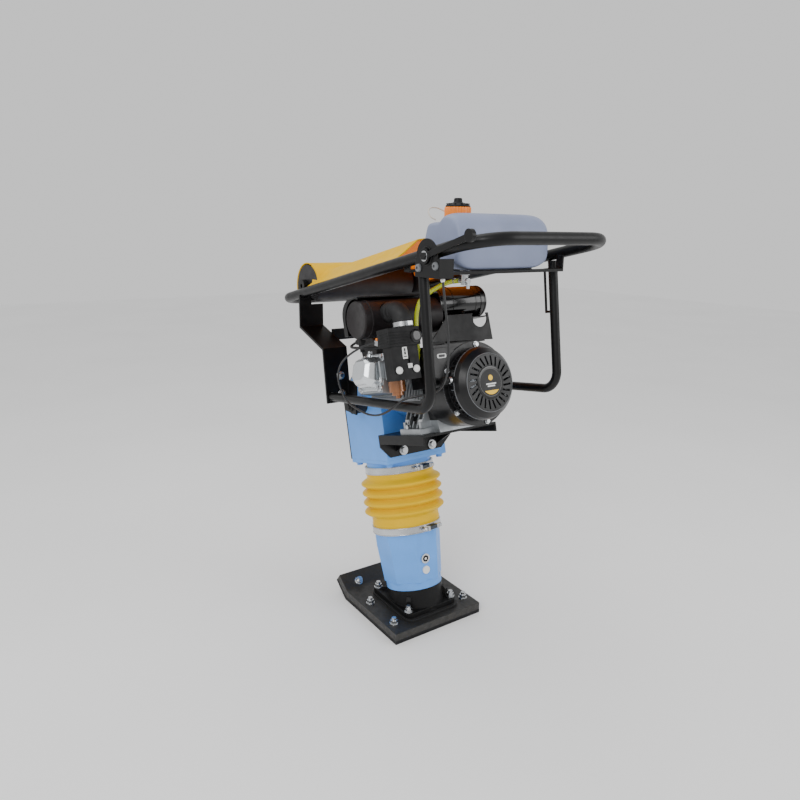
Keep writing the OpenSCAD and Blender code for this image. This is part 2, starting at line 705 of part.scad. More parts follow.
// Stamped cover with chamfered sides and a flat seat all round
module valve_cover() {
    z0 = head_reach - 42;
    color("#cfd3d6") barrel() {
        difference() {
            union() {
                translate([0, 0, z0]) linear_extrude(5) cover_outline(46, 42);
                for (x = [-41, 41], y = [-36, 36]) translate([x, y, z0]) cylinder(r = 9, h = 5);
            }
            head_bolt_places() cylinder(r = 2.9 + bolt_gap, h = 20, center = true, $fn = 24);
        }
        translate([0, 0, z0 + 4]) linear_extrude(20) cover_outline(41, 36);
        translate([0, 0, z0 + 23]) linear_extrude(12) cover_outline(36, 31);
        translate([0, 0, z0 + 34]) linear_extrude(8) cover_outline(28, 24);
    }
}
module head_bolt_places() {
    for (x = [-41, 41], y = [-36, 36]) translate([x, y, head_reach - 37]) children();
}
module cover_outline(x, y) {
    c = min(x, y) * 0.42;
    polygon([[c - x, -y], [x - c, -y], [x, c - y], [x, y - c], [x - c, y], [c - x, y], [-x, y - c], [-x, c - y]]);
}
plug_at = [214, -196, 752];
module plug_cap() {
    color(black) leg() translate(plug_at) {
        cylinder(r = 8, h = 16, $fn = 32);
        translate([8, 0, 14]) rotate([0, -90, 0]) cylinder(r = 7, h = 26, $fn = 32);
        translate([0, 0, -12]) cylinder(r = 6, h = 14, $fn = 32);
    }
}
module ht_lead() { color(black) cord(smooth(lead_route, 5), lead_r, 8, [0, 0, 1]); }
carb_y = -180;
carb_s = 692;
module carburettor() {
    w0 = intake_w - 40;
    color("#a7a9a6") leg() difference() {
        union() {
            along_w(w0, carb_y, carb_s) cylinder(r = 17, h = 40);
            box([w0, w0 + 6], [carb_y - 30, carb_y + 30], [carb_s - 20, carb_s + 20]);
            box([w0 + 34, w0 + 40], [carb_y - 30, carb_y + 30], [carb_s - 20, carb_s + 20]);
            box([w0 + 8, w0 + 32], [carb_y - 20, carb_y + 34], [carb_s - 24, carb_s + 14]);
            along_left(w0 + 20, carb_y + 44, carb_s + 6) cylinder(r = 4, h = 12, $fn = 24);
        }
        along_w(w0 - 1, carb_y, carb_s) cylinder(r = 10, h = 42);
    }
}
module carb_bowl() {
    color("#b9875a") leg() translate([intake_w - 20, carb_y, carb_s - 62]) {
        translate([0, 0, 8]) cylinder(r = 19.5, h = 30);
        cylinder(r = 14, h = 9);
        translate([0, 0, -7]) hex_head(6, 8);
    }
}
box_w1 = intake_w + 34;
box_y = -183;
box_s = 663;
box_top = 778;
module box_bolt_places() { for (y = [box_y - 22, box_y + 24]) along_w(box_w1, y, box_s + 22) children(); }
module intake_box() {
    color(black) leg() difference() {
        union() {
            box([intake_w, box_w1], [box_y - 35, box_y + 35], [box_s, box_s + 76]);
            box([intake_w - 6, box_w1 + 4], [box_y - 42, box_y + 42], [box_s + 75, box_top]);
        }
        box([intake_w + 3, box_w1 - 3], [box_y - 32, box_y + 32], [box_s + 3, box_s + 78]);
        box([intake_w - 3, box_w1 + 1], [box_y - 39, box_y + 39], [box_s + 78, box_top - 3]);
        translate([elbow_w, elbow_y, box_top - 5]) cylinder(r = elbow_r - 4, h = 10);
        along_w(intake_w - 1, carb_y, carb_s) cylinder(r = 10, h = 6);
        box([box_w1 - 5, box_w1 + 5], [box_y + 6, box_y + 10], [box_s + 26, box_s + 48]);
        box_bolt_places() cylinder(r = 2.9 + bolt_gap, h = 12, center = true, $fn = 24);
    }
}
choke_travel = 10;
module choke_lever() {
    color("#e8e8ea") leg() {
        box([box_w1 + 0.3, box_w1 + 3], [box_y + 3, box_y + 13], [box_s + 25, box_s + 35]);
        box([box_w1 - 4, box_w1 + 8], [box_y + 6.5, box_y + 9.5], [box_s + 27, box_s + 34]);
    }
}
// Moulded elbow from the box's lid, up and forward into the filter housing
module intake_elbow() {
    bend = 24;
    rise = filter_s + 8 - bend;
    color("#232325") leg() translate([elbow_w, elbow_y, 0]) {
        translate([0, 0, box_top]) pipe(elbow_r, 3, rise - box_top);
        translate([-bend, 0, rise]) rotate([90, 0, 0]) rotate_extrude(angle = 90)
            translate([bend, 0]) difference() { circle(elbow_r); circle(elbow_r - 3); }
        translate([-bend, 0, rise + bend]) rotate([0, -90, 0])
            pipe(elbow_r, 3, elbow_w - bend - filter_w - 36);
    }
}
module elbow_clamp() {
    color("#d5d8da") leg() translate([elbow_w, elbow_y, box_top + 3]) {
        ring(elbow_r + 2, elbow_r, 10);
        translate([elbow_r, -6, 1]) cube([8, 12, 8]);
    }
}
module filter_can() {
    color("#3a3536") leg() difference() {
        union() {
            along_left(filter_w, -12, filter_s) cylinder(r = filter_r, h = filter_left - 12);
            along_left(filter_w, -filter_left + 20, filter_s) cylinder(r = filter_r + 2, h = 4);
        }
        along_left(filter_w, -12 - sheet, filter_s) cylinder(r = filter_r - sheet, h = filter_left - 12 - 2 * sheet);
        translate([filter_w, elbow_y, filter_s + 8]) rotate([0, 90, 0]) cylinder(r = elbow_r, h = 90);
    }
}
// Bent sheet that shields the housing from the front and the top, with a lip at its left end
guard_w = 200;
guard_r = 40;
module guard_outline(inset) {
    difference() {
        union() {
            translate([guard_w + inset, 780]) square([60, 43]);
            translate([guard_w + guard_r, 823]) circle(guard_r - inset);
            translate([guard_w + guard_r, 800]) square([40, 23 + guard_r - inset]);
        }
        translate([filter_w + 18, 700]) square([100, 200]);
    }
}
module filter_guard() {
    color(black) leg() rotate([90, 0, 0]) {
        translate([0, 0, 14]) linear_extrude(filter_left - 12) difference() {
            guard_outline(0);
            guard_outline(3);
            translate([guard_w + 3, 770]) square([100, 30]);
        }
        translate([0, 0, filter_left]) linear_extrude(3) difference() {
            guard_outline(0);
            translate([filter_w, filter_s]) circle(filter_r + 4);
            translate([filter_w - 44, 700]) square([100, filter_s - 700]);
        }
    }
}
module filter_canister() {
    color(black) leg() difference() {
        union() {
            along_left(filter_w, filter_right, canister_s) cylinder(r = canister_r, h = filter_right + 11.5);
            along_left(filter_w, filter_right - 30, canister_s) cylinder(r = canister_r + 0.8, h = 5);
        }
        along_left(filter_w, filter_right - sheet, canister_s)
            cylinder(r = canister_r - sheet, h = filter_right + 11.5 - 2 * sheet);
    }
}
plate_top = canister_s - canister_r - 4;
module filter_bracket() {
    color(black) leg() difference() {
        union() {
            slab_w(300, 303) polygon([[-58, plate_top - 52], [137, plate_top - 59], [132, plate_top + 10],
                [2, plate_top + 10]]);
            box([232, 303], [4, 132], [plate_top, plate_top + 3]);
            box([232, 303], [-20, 110], [plate_top - 61, plate_top - 57]);
            for (w = [244, 288]) box([w, w + 4], [30, 90], [plate_top - 58, plate_top + 1]);
            for (w = [240, 280]) box([w, w + 12], [-6, 6], [engine_s + block_r, plate_top - 57]);
        }
        along_w(295, 102, plate_top - 1) cylinder(r = 24, h = 20);
    }
}
module muffler() {
    color("#2e2b2a") leg() {
        difference() {
            along_left(150, -20, 745) cylinder(r = 36, h = 120);
            along_left(150, -22, 745) cylinder(r = 34, h = 116);
            translate([150, -128, 690]) cylinder(r = 9, h = 40);
        }
        difference() {
            union() {
                translate([150, -128, 690]) ring(11, 9, 24);
                along_w(148, -128, 692) cylinder(r = 11, h = 45);
            }
            along_w(151, -128, 692) cylinder(r = 9, h = 60);
            translate([150, -128, 688]) cylinder(r = 9, h = 40);
        }
    }
}

// ---------- fan and starter ----------
module blower_outline(inset) {
    translate([0, engine_s]) circle(blower_r - inset);
    polygon([[inset - blower_y, engine_s + 4 + inset], [0, engine_s + 4 + inset], [0, engine_s + blower_r - inset],
        [inset - blower_y + 14, engine_s + blower_r - inset], [inset - blower_y, engine_s + blower_r - 14 - inset]]);
}
module blower_housing() {
    color("#232427") leg() difference() {
        slab_w(block_w1, blower_w1) blower_outline(0);
        slab_w(block_w1 + sheet, blower_w1 - sheet) blower_outline(sheet);
        along_w(block_w1 - 1, 0, engine_s) cylinder(r = 62, h = 10);
        along_w(blower_w1 - 5, 0, engine_s) cylinder(r = 84, h = 10);
        starter_places() cylinder(r = 2.9 + bolt_gap, h = 20, center = true, $fn = 24);
    }
}
starter_h = starter_w - blower_w1;
// Bolts of the starter's flange, as angles from the top towards the machine's left
starter_angles = [-6, 66, 130, 190, 250];
starter_bolt_r = 92;
module recoil_cover() {
    h = starter_h;
    outer = [[99, 0], [99, 3], [85, 3], [85, h - 24], [81, h - 14], [70, h - 3], [66, h], [0, h]];
    inner = [[0, h - 3], [64, h - 3], [68, h - 6], [78, h - 16], [82, h - 25], [82, 0]];
    color("#1f2022") leg() along_w(blower_w1, 0, engine_s) difference() {
        rotate_extrude() polygon(concat(outer, inner));
        for (a = [0:15:345]) rotate([0, 0, a]) translate([40, 0, h - 5]) rotate([0, 0, 18])
            translate([0, -2.2, 0]) cube([22, 4.4, 8]);
        for (a = starter_angles) rotate([0, 0, a + 180]) translate([starter_bolt_r, 0, -1])
            cylinder(r = 2.9 + bolt_gap, h = 6, $fn = 24);
        for (a = [15:10:165], half = [0, 180]) rotate([0, 0, a + half]) translate([79, -2.6, 8]) cube([8, 5.2, h - 36]);
    }
}
grip_w = 400;
grip_s = engine_s + 17;
grip_y = -86;
module pull_grip() {
    color(black) leg() {
        along_left(grip_w, grip_y, grip_s) cylinder(r = 7, h = 12, $fn = 32);
        along_left(grip_w, grip_y - 11, grip_s) cylinder(r = 9.5, h = 17, $fn = 32);
    }
}
module bolt_m6(h) {
    translate([0, 0, -4.5]) cylinder(r = 2.9, h = 6, $fn = 24);
    cylinder(r = 7, h = 1.5, $fn = 24);
    translate([0, 0, 1]) hex_head(5.2, h);
}
module starter_places() {
    for (a = starter_angles) translate([blower_w1 + sheet, 0, engine_s]) rotate([a, 0, 0])
        translate([0, 0, starter_bolt_r]) rotate([0, 90, 0]) children();
}
module engine_bolts() {
    color("#d8dadc") {
        leg() starter_places() bolt_m6(5);
        barrel() head_bolt_places() bolt_m6(5);
        leg() box_bolt_places() bolt_m6(4);
        leg() engine_foot_places() translate([0, 0, 30]) bolt_m6(5);
    }
}

// ---------- handle, frames and cover ----------
module handle_loop() {
    x0 = -handle_front;
    x1 = handle_rear;
    run = x1 - x0 - 2 * corner_r;
    across = handle_w - 2 * corner_r;
    color(black) handle() {
        both_sides() translate([x0 + corner_r, side_y, 0]) rotate([0, 90, 0]) pipe(handle_r, tube_wall, run);
        for (x = [x0, x1]) along_left(x, across / 2, 0) pipe(handle_r, tube_wall, across);
        for (end = [[x1, 1, 0], [x0, 1, 90], [x0, -1, 180], [x1, -1, 270]])
            translate([end[0] + (end[0] == x0 ? corner_r : -corner_r), end[1] * (side_y - corner_r), 0])
                rotate([0, 0, end[2]]) quarter(handle_r, tube_wall, corner_r);
        both_sides() difference() {
            along_left(roller_x, side_y, roller_z) cylinder(r = 17, h = 14);
            along_left(roller_x, side_y + 1, roller_z) cylinder(r = 6, h = 40, $fn = 32);
            translate([roller_x - 50, side_y, 0]) rotate([0, 90, 0]) cylinder(r = handle_r - eps, h = 100);
        }
    }
    color(black) tank_cradle();
}
// Two flat bars that carry the tank between the side tubes
module tank_cradle() {
    for (x = [226, 326]) {
        top = handle_z + x * tan(handle_slope) - handle_r;
        box([x - 10, x + 10], [-side_y + 8, side_y - 8], [tank_z0 - 6, tank_z0]);
        both_sides() box([x - 10, x + 10], [side_y - 12, side_y - 8], [tank_z0 - 6, top + 6]);
    }
}
module side_frames() {
    color(black) both_sides() side_frame() translate([0, side_y, 0]) {
        translate([0, 0, bend_r]) pipe(frame_r, tube_wall, post_h - bend_r);
        translate([-bend_r, 0, bend_r]) rotate([90, 0, 0]) rotate([0, 0, -90]) quarter(frame_r, tube_wall, bend_r);
        translate([-bend_r, 0, 0]) rotate([0, -90, 0]) pipe(frame_r, tube_wall, frame_l - bend_r);
    }
    color(black) side_frame() translate([0, side_y, 0]) hook_rod();
}
hook_r = 3;
module hook_rod() {
    for (z = [post_h - 18, post_h - 118]) translate([-frame_r + 1, 0, z]) rotate([0, -90, 0])
        cylinder(r = hook_r, h = 16, $fn = 24);
    translate([-frame_r - 15, 0, post_h - 121]) cylinder(r = hook_r, h = 106, $fn = 24);
}
// Folded strap: centre line in X and Z, from the handle tube down to the frame's front end
strap_line = [[-252, 877], [-252, 790], [-121, 748], [-99, 606]];
function strap_normal(i) = let (d = unit(strap_line[i + 1] - strap_line[i])) [-d[1], d[0]];
// One edge of the strap's outline, mitred at its folds
function strap_edge(side) = [for (i = [0:len(strap_line) - 1])
    let (a = strap_normal(max(i - 1, 0)), b = strap_normal(min(i, len(strap_line) - 2)), m = unit(a + b))
        strap_line[i] + side * strap_t / 2 / (m * a) * m];
module strap() {
    low = strap_edge(-1);
    translate([0, -strap_in, 0]) rotate([90, 0, 0]) linear_extrude(strap_w)
        polygon(concat(strap_edge(1), [for (i = [len(low) - 1:-1:0]) low[i]]));
}
module front_brackets() {
    color(black) both_sides() difference() {
        union() {
            strap();
            box([-121, -62], [-strap_in - 5, -strap_in], [574, 662]);
        }
        handle() translate([-380, -side_y, 0]) rotate([0, 90, 0]) cylinder(r = handle_r, h = 300);
        handle() along_left(roller_x, side_y, roller_z) translate([0, 0, side_y - roller_half - 12])
            cylinder(r = roller_r + 6, h = 2 * roller_half + 24);
        side_frame() translate([-100, -side_y, 0]) rotate([0, -90, 0]) cylinder(r = frame_r + 0.2, h = frame_l - 90);
        leg_point() rotate([90, 0, 0]) translate([0, 0, 90]) cylinder(r = 5 + bolt_gap, h = 100, $fn = 32);
    }
    color(black) box([-200, -190], [-strap_in - 1, strap_in + 1], [757, 787]);
}
module leg_point() { leg() translate([mount_w, 0, mount_s]) children(); }
module rubber_mounts() {
    color("#19191a") both_sides() leg_point() {
        translate([0, case_y, 0]) rotate([-90, 0, 0]) cylinder(r = 22, h = strap_in - case_y);
        translate([0, case_y - 10, 0]) rotate([-90, 0, 0]) cylinder(r = 4.9, h = strap_in - case_y + 22, $fn = 32);
        translate([0, strap_in + 5, 0]) rotate([-90, 0, 0]) cylinder(r = 14, h = 3, $fn = 32);
        translate([0, strap_in + 8 - eps, 0]) rotate([-90, 0, 0]) hex_head(9, 7);
    }
}
module roller_axle() {
    color(steel) handle() {
        along_left(roller_x, side_y - handle_r + 2, roller_z) cylinder(r = 5.9, h = 2 * (side_y - handle_r + 2), $fn = 32);
    }
}
module transport_roller() {
    half = roller_half;
    color("#2f2c2e") handle() along_left(roller_x, half, roller_z) difference() {
        cylinder(r = roller_r, h = 2 * half);
        translate([0, 0, -1]) cylinder(r = 5.9 + run_gap, h = 2 * half + 2);
        for (z = [-1, 2 * half - 5]) translate([0, 0, z]) ring(roller_r - 5, 14, 6);
    }
}
// Moulded hood: a half tube over the roller and an arched panel back to the tank
module top_cover() {
    crown = 54;
    edge = 25;
    rim = handle_r + 0.2;
    color("#ffe11a") handle() {
        difference() {
            union() {
                along_left(hood_x, side_y - 17, hood_z) cylinder(r = hood_r, h = 2 * (side_y - 17));
                translate([hood_x, 0, 0]) slab_w(0, hood_rear - hood_x)
                    polygon([[-side_y, rim], [19 - side_y, edge], [60 - side_y, crown], [side_y - 60, crown],
                        [side_y - 19, edge], [side_y, rim]]);
            }
            along_left(hood_x, side_y, hood_z) cylinder(r = hood_r - hood_t, h = 2 * side_y);
            translate([hood_x + 20, 0, 0]) slab_w(0, 600)
                polygon([[4 - side_y, rim - 1], [21 - side_y, edge - hood_t], [61 - side_y, crown - hood_t],
                    [side_y - 61, crown - hood_t], [side_y - 21, edge - hood_t], [side_y - 4, rim - 1]]);
            box([-500, 500], [-300, 300], [-200, rim - 0.1]);
        }
    }
}

// ---------- throttle, tank and fuel ----------
lever_at = [331, 1004];
module throttle_housing() {
    y0 = -side_y - handle_r - 5;
    plate_r = 34;
    color(black) difference() {
        union() {
            along_left(lever_at[0], y0 + 3, lever_at[1]) cylinder(r = plate_r, h = 3);
            box([293, 373], [y0, y0 + 3], [962, 1000]);
            box([293, 373], [y0, -side_y + 3], [962, 965]);
            box([370, 373], [y0, -side_y + 18], [962, 1000]);
            box([338, 373], [-side_y + 15, -side_y + 18], [962, 994]);
        }
        handle() translate([200, -side_y, 0]) rotate([0, 90, 0]) cylinder(r = handle_r, h = 300);
        side_frame() translate([0, -side_y, 60]) cylinder(r = frame_r + 0.2, h = 400);
        along_left(lever_at[0], y0 + 10, lever_at[1]) cylinder(r = 5, h = 20, $fn = 32);
        translate([366, -192, 950]) cylinder(r = 3, h = 30, $fn = 32);
    }
}
// Flat lever on a pivot bolt, rising to a thumb paddle
module throttle_lever() {
    y1 = -side_y - handle_r - 5.3;
    rise = 17;
    color(black) {
        along_left(lever_at[0], y1 + 4.5, lever_at[1]) cylinder(r = 4.9, h = 6, $fn = 32);
        along_left(lever_at[0], y1, lever_at[1]) cylinder(r = 15, h = 6);
        translate([lever_at[0], y1 - 5, lever_at[1]]) rotate([0, -rise, 0]) {
            translate([0, 0, -6]) cube([135, 4.5, 12]);
            along_left(142, 5, 0) cylinder(r = 12, h = 9);
        }
    }
    color("#d8dadc") along_left(lever_at[0], y1 - 5, lever_at[1]) hex_head(8, 5);
}
module throttle_cable() { color("#202022") cord(smooth(throttle_route, 3), throttle_r, 8, [0, 1, 0.35]); }
module tank_side() {
    polygon([[tank_x0, tank_z0 + 30], [tank_x0 + 14, tank_z0], [tank_x1 - 12, tank_z0], [tank_x1, tank_z0 + 14],
        [tank_x1, tank_z1 - 34], [tank_x1 - 30, tank_z1 - 4], [tank_x1 - 40, tank_z1],
        [tank_x1 - 62, tank_z1], [tank_x1 - 74, ledge_z], [tank_x0 + 26, ledge_z], [tank_x0 + 18, ledge_z - 6]]);
}
module tank_front(inset) {
    half = tank_w / 2 - inset;
    z0 = tank_z0 + inset;
    z1 = tank_z1 - inset;
    polygon([[-half, z0 + 20], [-half + 14, z0], [half - 34, z0], [half, z0 + 30], [half, z1 - 24],
        [half - 14, z1], [14 - half, z1], [-half, z1 - 24]]);
}
module fuel_tank() {
    color("#a0a8c0") difference() {
        union() {
            intersection() {
                slab_y(tank_w) tank_side();
                slab_w(tank_x0, tank_x1) tank_front(0);
            }
            translate([cap_x, cap_y, ledge_z - 2]) cylinder(r = cap_r - 6, h = 24);
        }
        intersection() {
            slab_y(tank_w - 2 * tank_wall) tank_side_inner();
            slab_w(tank_x0 + tank_wall, tank_x1 - tank_wall) tank_front(tank_wall);
        }
        translate([cap_x, cap_y, ledge_z - 10]) cylinder(r = cap_r - 9, h = 60);
        translate([petcock_x, petcock_y, tank_z0 - 1]) cylinder(r = 5, h = tank_wall + 2, $fn = 32);
    }
}
// Inner outline of the tank: the outer one drawn in by the wall on each side
module tank_side_inner() {
    translate([tank_x0 + tank_wall, tank_z0 + tank_wall])
        scale([1 - 2 * tank_wall / tank_l, 1 - 2 * tank_wall / tank_h])
            translate([-tank_x0, -tank_z0]) tank_side();
}
module fuel_cap() {
    z0 = ledge_z + 6;
    color("#ff9d2a") translate([cap_x, cap_y, z0]) difference() {
        cylinder(r = cap_r, h = 26);
        translate([0, 0, -1]) cylinder(r = cap_r - 6 + 0.3, h = 19);
    }
    color(black) translate([cap_x, cap_y, z0 + 26]) {
        cylinder(r1 = cap_r - 2, r2 = cap_r - 12, h = 7);
        translate([0, 0, 6]) cylinder(r = 8, h = 12, $fn = 32);
    }
}
module cap_tether() { color("#ded6cf") cord(smooth(tether_route, 5), tether_r, 8, [1, 0, 0]); }
module petcock() {
    color(steel) translate([petcock_x, petcock_y, 0]) {
        translate([0, 0, tank_z0 - 10]) hex_head(11, 10);
        translate([0, 0, tank_z0 - 31]) cylinder(r = 7.5, h = 22);
        translate([0, 0, tank_z0 - 24]) rotate([0, -90, 0]) cylinder(r = 3.5, h = spout_l - 0.5, $fn = 32);
    }
}
module petcock_lever() {
    color("#c9ccd0") translate([petcock_x, petcock_y, tank_z0 - 22]) {
        translate([7.8, 0, 0]) rotate([0, 90, 0]) cylinder(r = 6, h = 6, $fn = 32);
        box([10, 14], [-3, 3], [-16, 4]);
    }
}
module fuel_hose() { color("#c9d23a") cord(smooth(hose_route, 4), hose_r, 10, [0, 1, 0.2]); }

sole_plate();
shoe_board();
shoe_bolts();
foot_gasket();
foot_casting();
lower_cylinder();
oil_sight();
drain_plug();
spring_cylinder();
lower_clamp();
bellows();
rammer_springs();
upper_clamp();
guide_cylinder();
crankcase();
crankcase_cover();
crankcase_bolts();
crank_bearings();
crank_gear();
connecting_rod();
piston_rod();
clutch_drum();
engine_bracket();
engine_block();
engine_crank();
cylinder_head();
valve_cover();
plug_cap();
ht_lead();
carburettor();
carb_bowl();
intake_box();
choke_lever();
intake_elbow();
elbow_clamp();
filter_can();
filter_canister();
filter_bracket();
blower_housing();
recoil_cover();
filter_guard();
pull_grip();
engine_bolts();
muffler();
throttle_cable();
throttle_housing();
throttle_lever();
fuel_tank();
fuel_cap();
cap_tether();
petcock();
petcock_lever();
fuel_hose();
handle_loop();
side_frames();
front_brackets();
rubber_mounts();
top_cover();
transport_roller();
roller_axle();
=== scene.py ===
"""Jumping jack rammer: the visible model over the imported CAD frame."""
import math

import bpy
import numpy as np
from mathutils import Matrix, Vector


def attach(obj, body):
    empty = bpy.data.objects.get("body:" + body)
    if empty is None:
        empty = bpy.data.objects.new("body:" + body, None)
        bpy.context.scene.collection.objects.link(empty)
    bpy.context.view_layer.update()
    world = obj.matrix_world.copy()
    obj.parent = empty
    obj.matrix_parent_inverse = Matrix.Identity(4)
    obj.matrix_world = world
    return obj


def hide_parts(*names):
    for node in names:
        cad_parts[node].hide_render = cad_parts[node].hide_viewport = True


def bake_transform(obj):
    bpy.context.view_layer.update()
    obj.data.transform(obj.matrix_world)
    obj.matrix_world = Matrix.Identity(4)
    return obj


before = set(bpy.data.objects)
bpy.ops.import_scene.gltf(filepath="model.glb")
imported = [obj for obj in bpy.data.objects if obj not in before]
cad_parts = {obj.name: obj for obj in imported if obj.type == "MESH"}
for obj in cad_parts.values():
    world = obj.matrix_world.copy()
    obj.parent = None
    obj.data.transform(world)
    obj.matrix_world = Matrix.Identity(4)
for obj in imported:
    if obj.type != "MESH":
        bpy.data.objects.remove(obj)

bl_info = {"name": "Jumping Jack Rammer", "version": (1, 0, 0), "blender": (4, 5, 0),
    "location": "3D View > Sidebar > Rammer",
    "description": "Builds the finished surfaces of a jumping jack rammer over its CAD frame",
    "category": "Object", }

MM = 0.001


# ---------- frames ----------
def turn(axis, degrees):
    """Rotation matrix about one axis by the right-hand rule."""
    return np.array(Matrix.Rotation(math.radians(degrees), 4, axis))


def shift(x, y, z):
    """Translation matrix, in millimetres."""
    return np.array(Matrix.Translation((x, y, z)))


LEG = shift(50.3, 0, 0) @ turn("Y", -14.6)
HANDLE = shift(0, 0, 938.4) @ turn("Y", -12.3)
BARREL = LEG @ shift(250, 0, 632) @ turn("X", 74.7)
TO_REAR = turn("Y", 90)
TO_LEFT = turn("X", 90)
ENGINE_S = 632
STARTER_W = 380
# Width of the hood's roll, the place of its axis in the handle's frame and its outer radius
ROLL_HALF = 172
ROLL_X = -265
ROLL_Z = 15
ROLL_R = 66
WORLD = np.eye(4)


def placed(points, place):
    """World points in metres: the frame's matrix times each point in millimetres."""
    points = np.asarray(points, float)
    return (points @ place[:3, :3].T + place[:3, 3]) * MM


# ---------- surfaces ----------
def grid_quads(rows, cols, close_rows=False, close_cols=True):
    """Faces of a grid of points kept row by row; a closed side joins its last line to its first."""
    r = np.arange(rows if close_rows else rows - 1)[:, None]
    c = np.arange(cols if close_cols else cols - 1)[None, :]
    below, beside = (r + 1) % rows, (c + 1) % cols
    quads = [r * cols + c, r * cols + beside, below * cols + beside, below * cols + c]
    return np.stack(quads, axis=2).reshape(-1, 4)


def turned(profile, segments):
    """Rings of points about Z, one for each (radius, height) of a profile, at equal angles."""
    angles = np.linspace(0, 2 * np.pi, segments, endpoint=False)
    radius, height = profile[:, 0], np.repeat(profile[:, 1:], segments, axis=1)
    return np.stack([np.outer(radius, np.cos(angles)), np.outer(radius, np.sin(angles)), height], axis=2)


def lathe(profile, segments=96):
    """Closed loop of (radius, height) turned about Z: each point becomes a ring of equal angles."""
    profile = np.asarray(profile, float)
    quads = grid_quads(len(profile), segments, close_rows=True)
    return turned(profile, segments).reshape(-1, 3), quads.tolist()


def knob(profile, segments=96):
    """Profile from pole to pole turned about Z: the first and last points lie on the axis."""
    profile = np.asarray(profile, float)
    rings = turned(profile[1:-1], segments).reshape(-1, 3)
    points = np.vstack([rings, [[0, 0, profile[0, 1]], [0, 0, profile[-1, 1]]]])
    low, high = len(rings), len(rings) + 1
    cols = np.arange(segments)
    nxt = (cols + 1) % segments
    top = low - segments
    first = np.stack([np.full(segments, low), nxt, cols], axis=1)
    last = np.stack([np.full(segments, high), top + cols, top + nxt], axis=1)
    return points, grid_quads(len(profile) - 2, segments).tolist() + first.tolist() + last.tolist()


def loft(rings):
    """Skin over rings of equal point counts, capped at both ends."""
    rings = np.asarray(rings, float)
    m, n = rings.shape[:2]
    caps = [list(range(n - 1, -1, -1)), list(range((m - 1) * n, m * n))]
    return rings.reshape(-1, 3), grid_quads(m, n).tolist() + caps


def smooth_route(points, steps):
    """Catmull-Rom curve: a cubic through each pair of points, led by their neighbours."""
    p = np.asarray(points, float)
    ends = np.vstack([p[:1], p, p[-1:]])
    t = np.linspace(0, 1, steps, endpoint=False)[None, :, None]
    a, b, c, d = (ends[k:len(p) - 1 + k, None, :] for k in range(4))
    square, cube = 2 * a - 5 * b + 4 * c - d, 3 * b - a - 3 * c + d
    curve = 0.5 * (2 * b + (c - a) * t + square * t ** 2 + cube * t ** 3)
    return np.vstack([curve.reshape(-1, 3), p[-1:]])


def sweep(path, radius, sides=16, ref=(0, 1, 0.35)):
    """Round tube round a path: a circle square to the path's heading at each point, with capped ends."""
    p = np.asarray(path, float)
    heading = np.gradient(p, axis=0)
    heading /= np.linalg.norm(heading, axis=1, keepdims=True)
    ref = np.asarray(ref, float)
    across = ref - heading * (heading @ ref)[:, None]
    across /= np.linalg.norm(across, axis=1, keepdims=True)
    up = np.cross(heading, across)
    angles = np.linspace(0, 2 * np.pi, sides, endpoint=False)
    radii = np.broadcast_to(np.asarray(radius, float), (len(p),))[:, None, None]
    cos, sin = np.cos(angles)[None, :, None], np.sin(angles)[None, :, None]
    return loft(p[:, None, :] + radii * (across[:, None, :] * cos + up[:, None, :] * sin))


def prism(outline, z0, z1):
    """Outline in XY stood up between two heights, with flat ends."""
    outline = np.asarray(outline, float)
    return loft([np.column_stack([outline, np.full(len(outline), z)]) for z in (z0, z1)])


def arc(x, y, radius, angles):
    """Points of a circle about (x, y) at the given angles."""
    return np.column_stack([x + radius * np.cos(angles), y + radius * np.sin(angles)])


def disc(x, y, radius, steps):
    """Outline of a whole circle in even steps."""
    return arc(x, y, radius, np.linspace(0, 2 * np.pi, steps, endpoint=False))


def rounded(x, y, r, steps=6):
    """Rectangle outline with quarter-circle corners, centred on zero."""
    a = np.linspace(0, np.pi / 2, steps)
    corners = []
    for k, (sx, sy) in enumerate(((1, 1), (-1, 1), (-1, -1), (1, -1))):
        angle = a + k * np.pi / 2
        corners.append(np.column_stack([sx * (x - r) + r * np.cos(angle), sy * (y - r) + r * np.sin(angle)]))
    return np.vstack(corners)


def octagon(x, y, cut=0.42):
    """Rectangle outline with its corners cut by a share of its smaller half width."""
    c = min(x, y) * cut
    right = [(x - c, -y), (x, c - y), (x, y - c), (x - c, y)]
    return np.array(right + [(-px, -py) for px, py in right])


def merged(*solids):
    """Several point and face sets in one, with the later faces counted on."""
    faces, base = [], 0
    for points, own in solids:
        faces += [[i + base for i in face] for face in own]
        base += len(points)
    return np.vstack([points for points, _ in solids]), faces


def moved(solid, place):
    """A solid in a frame's own millimetres, moved by its matrix."""
    points, faces = solid
    return np.asarray(points) @ place[:3, :3].T + place[:3, 3], faces


def piece(name, solid, place, body, finish, bevel=0.0, segments=2, sharp=35.0, replaces=()):
    """Makes a mesh object of a solid, gives it its finish and body, and rounds its sharp edges. A piece given
    no body is left unattached."""
    points, faces = solid
    mesh = bpy.data.meshes.new(name)
    mesh.from_pydata(placed(points, place).tolist(), [], faces)
    if mesh.validate():
        raise RuntimeError(f"{name} has faces that had to be mended")
    mesh.update()
    obj = bpy.data.objects.new(name, mesh)
    bpy.context.scene.collection.objects.link(obj)
    mesh.materials.append(FINISHES[finish])
    mesh.shade_smooth()
    mesh.set_sharp_from_angle(angle=math.radians(sharp))
    if bevel:
        edge = obj.modifiers.new("Rounded edges", "BEVEL")
        edge.width = bevel * MM
        edge.segments = segments
        edge.limit_method = "ANGLE"
        edge.angle_limit = math.radians(sharp)
        edge.harden_normals = True
    if body:
        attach(obj, body)
    if replaces:
        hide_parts(*replaces)
    return obj


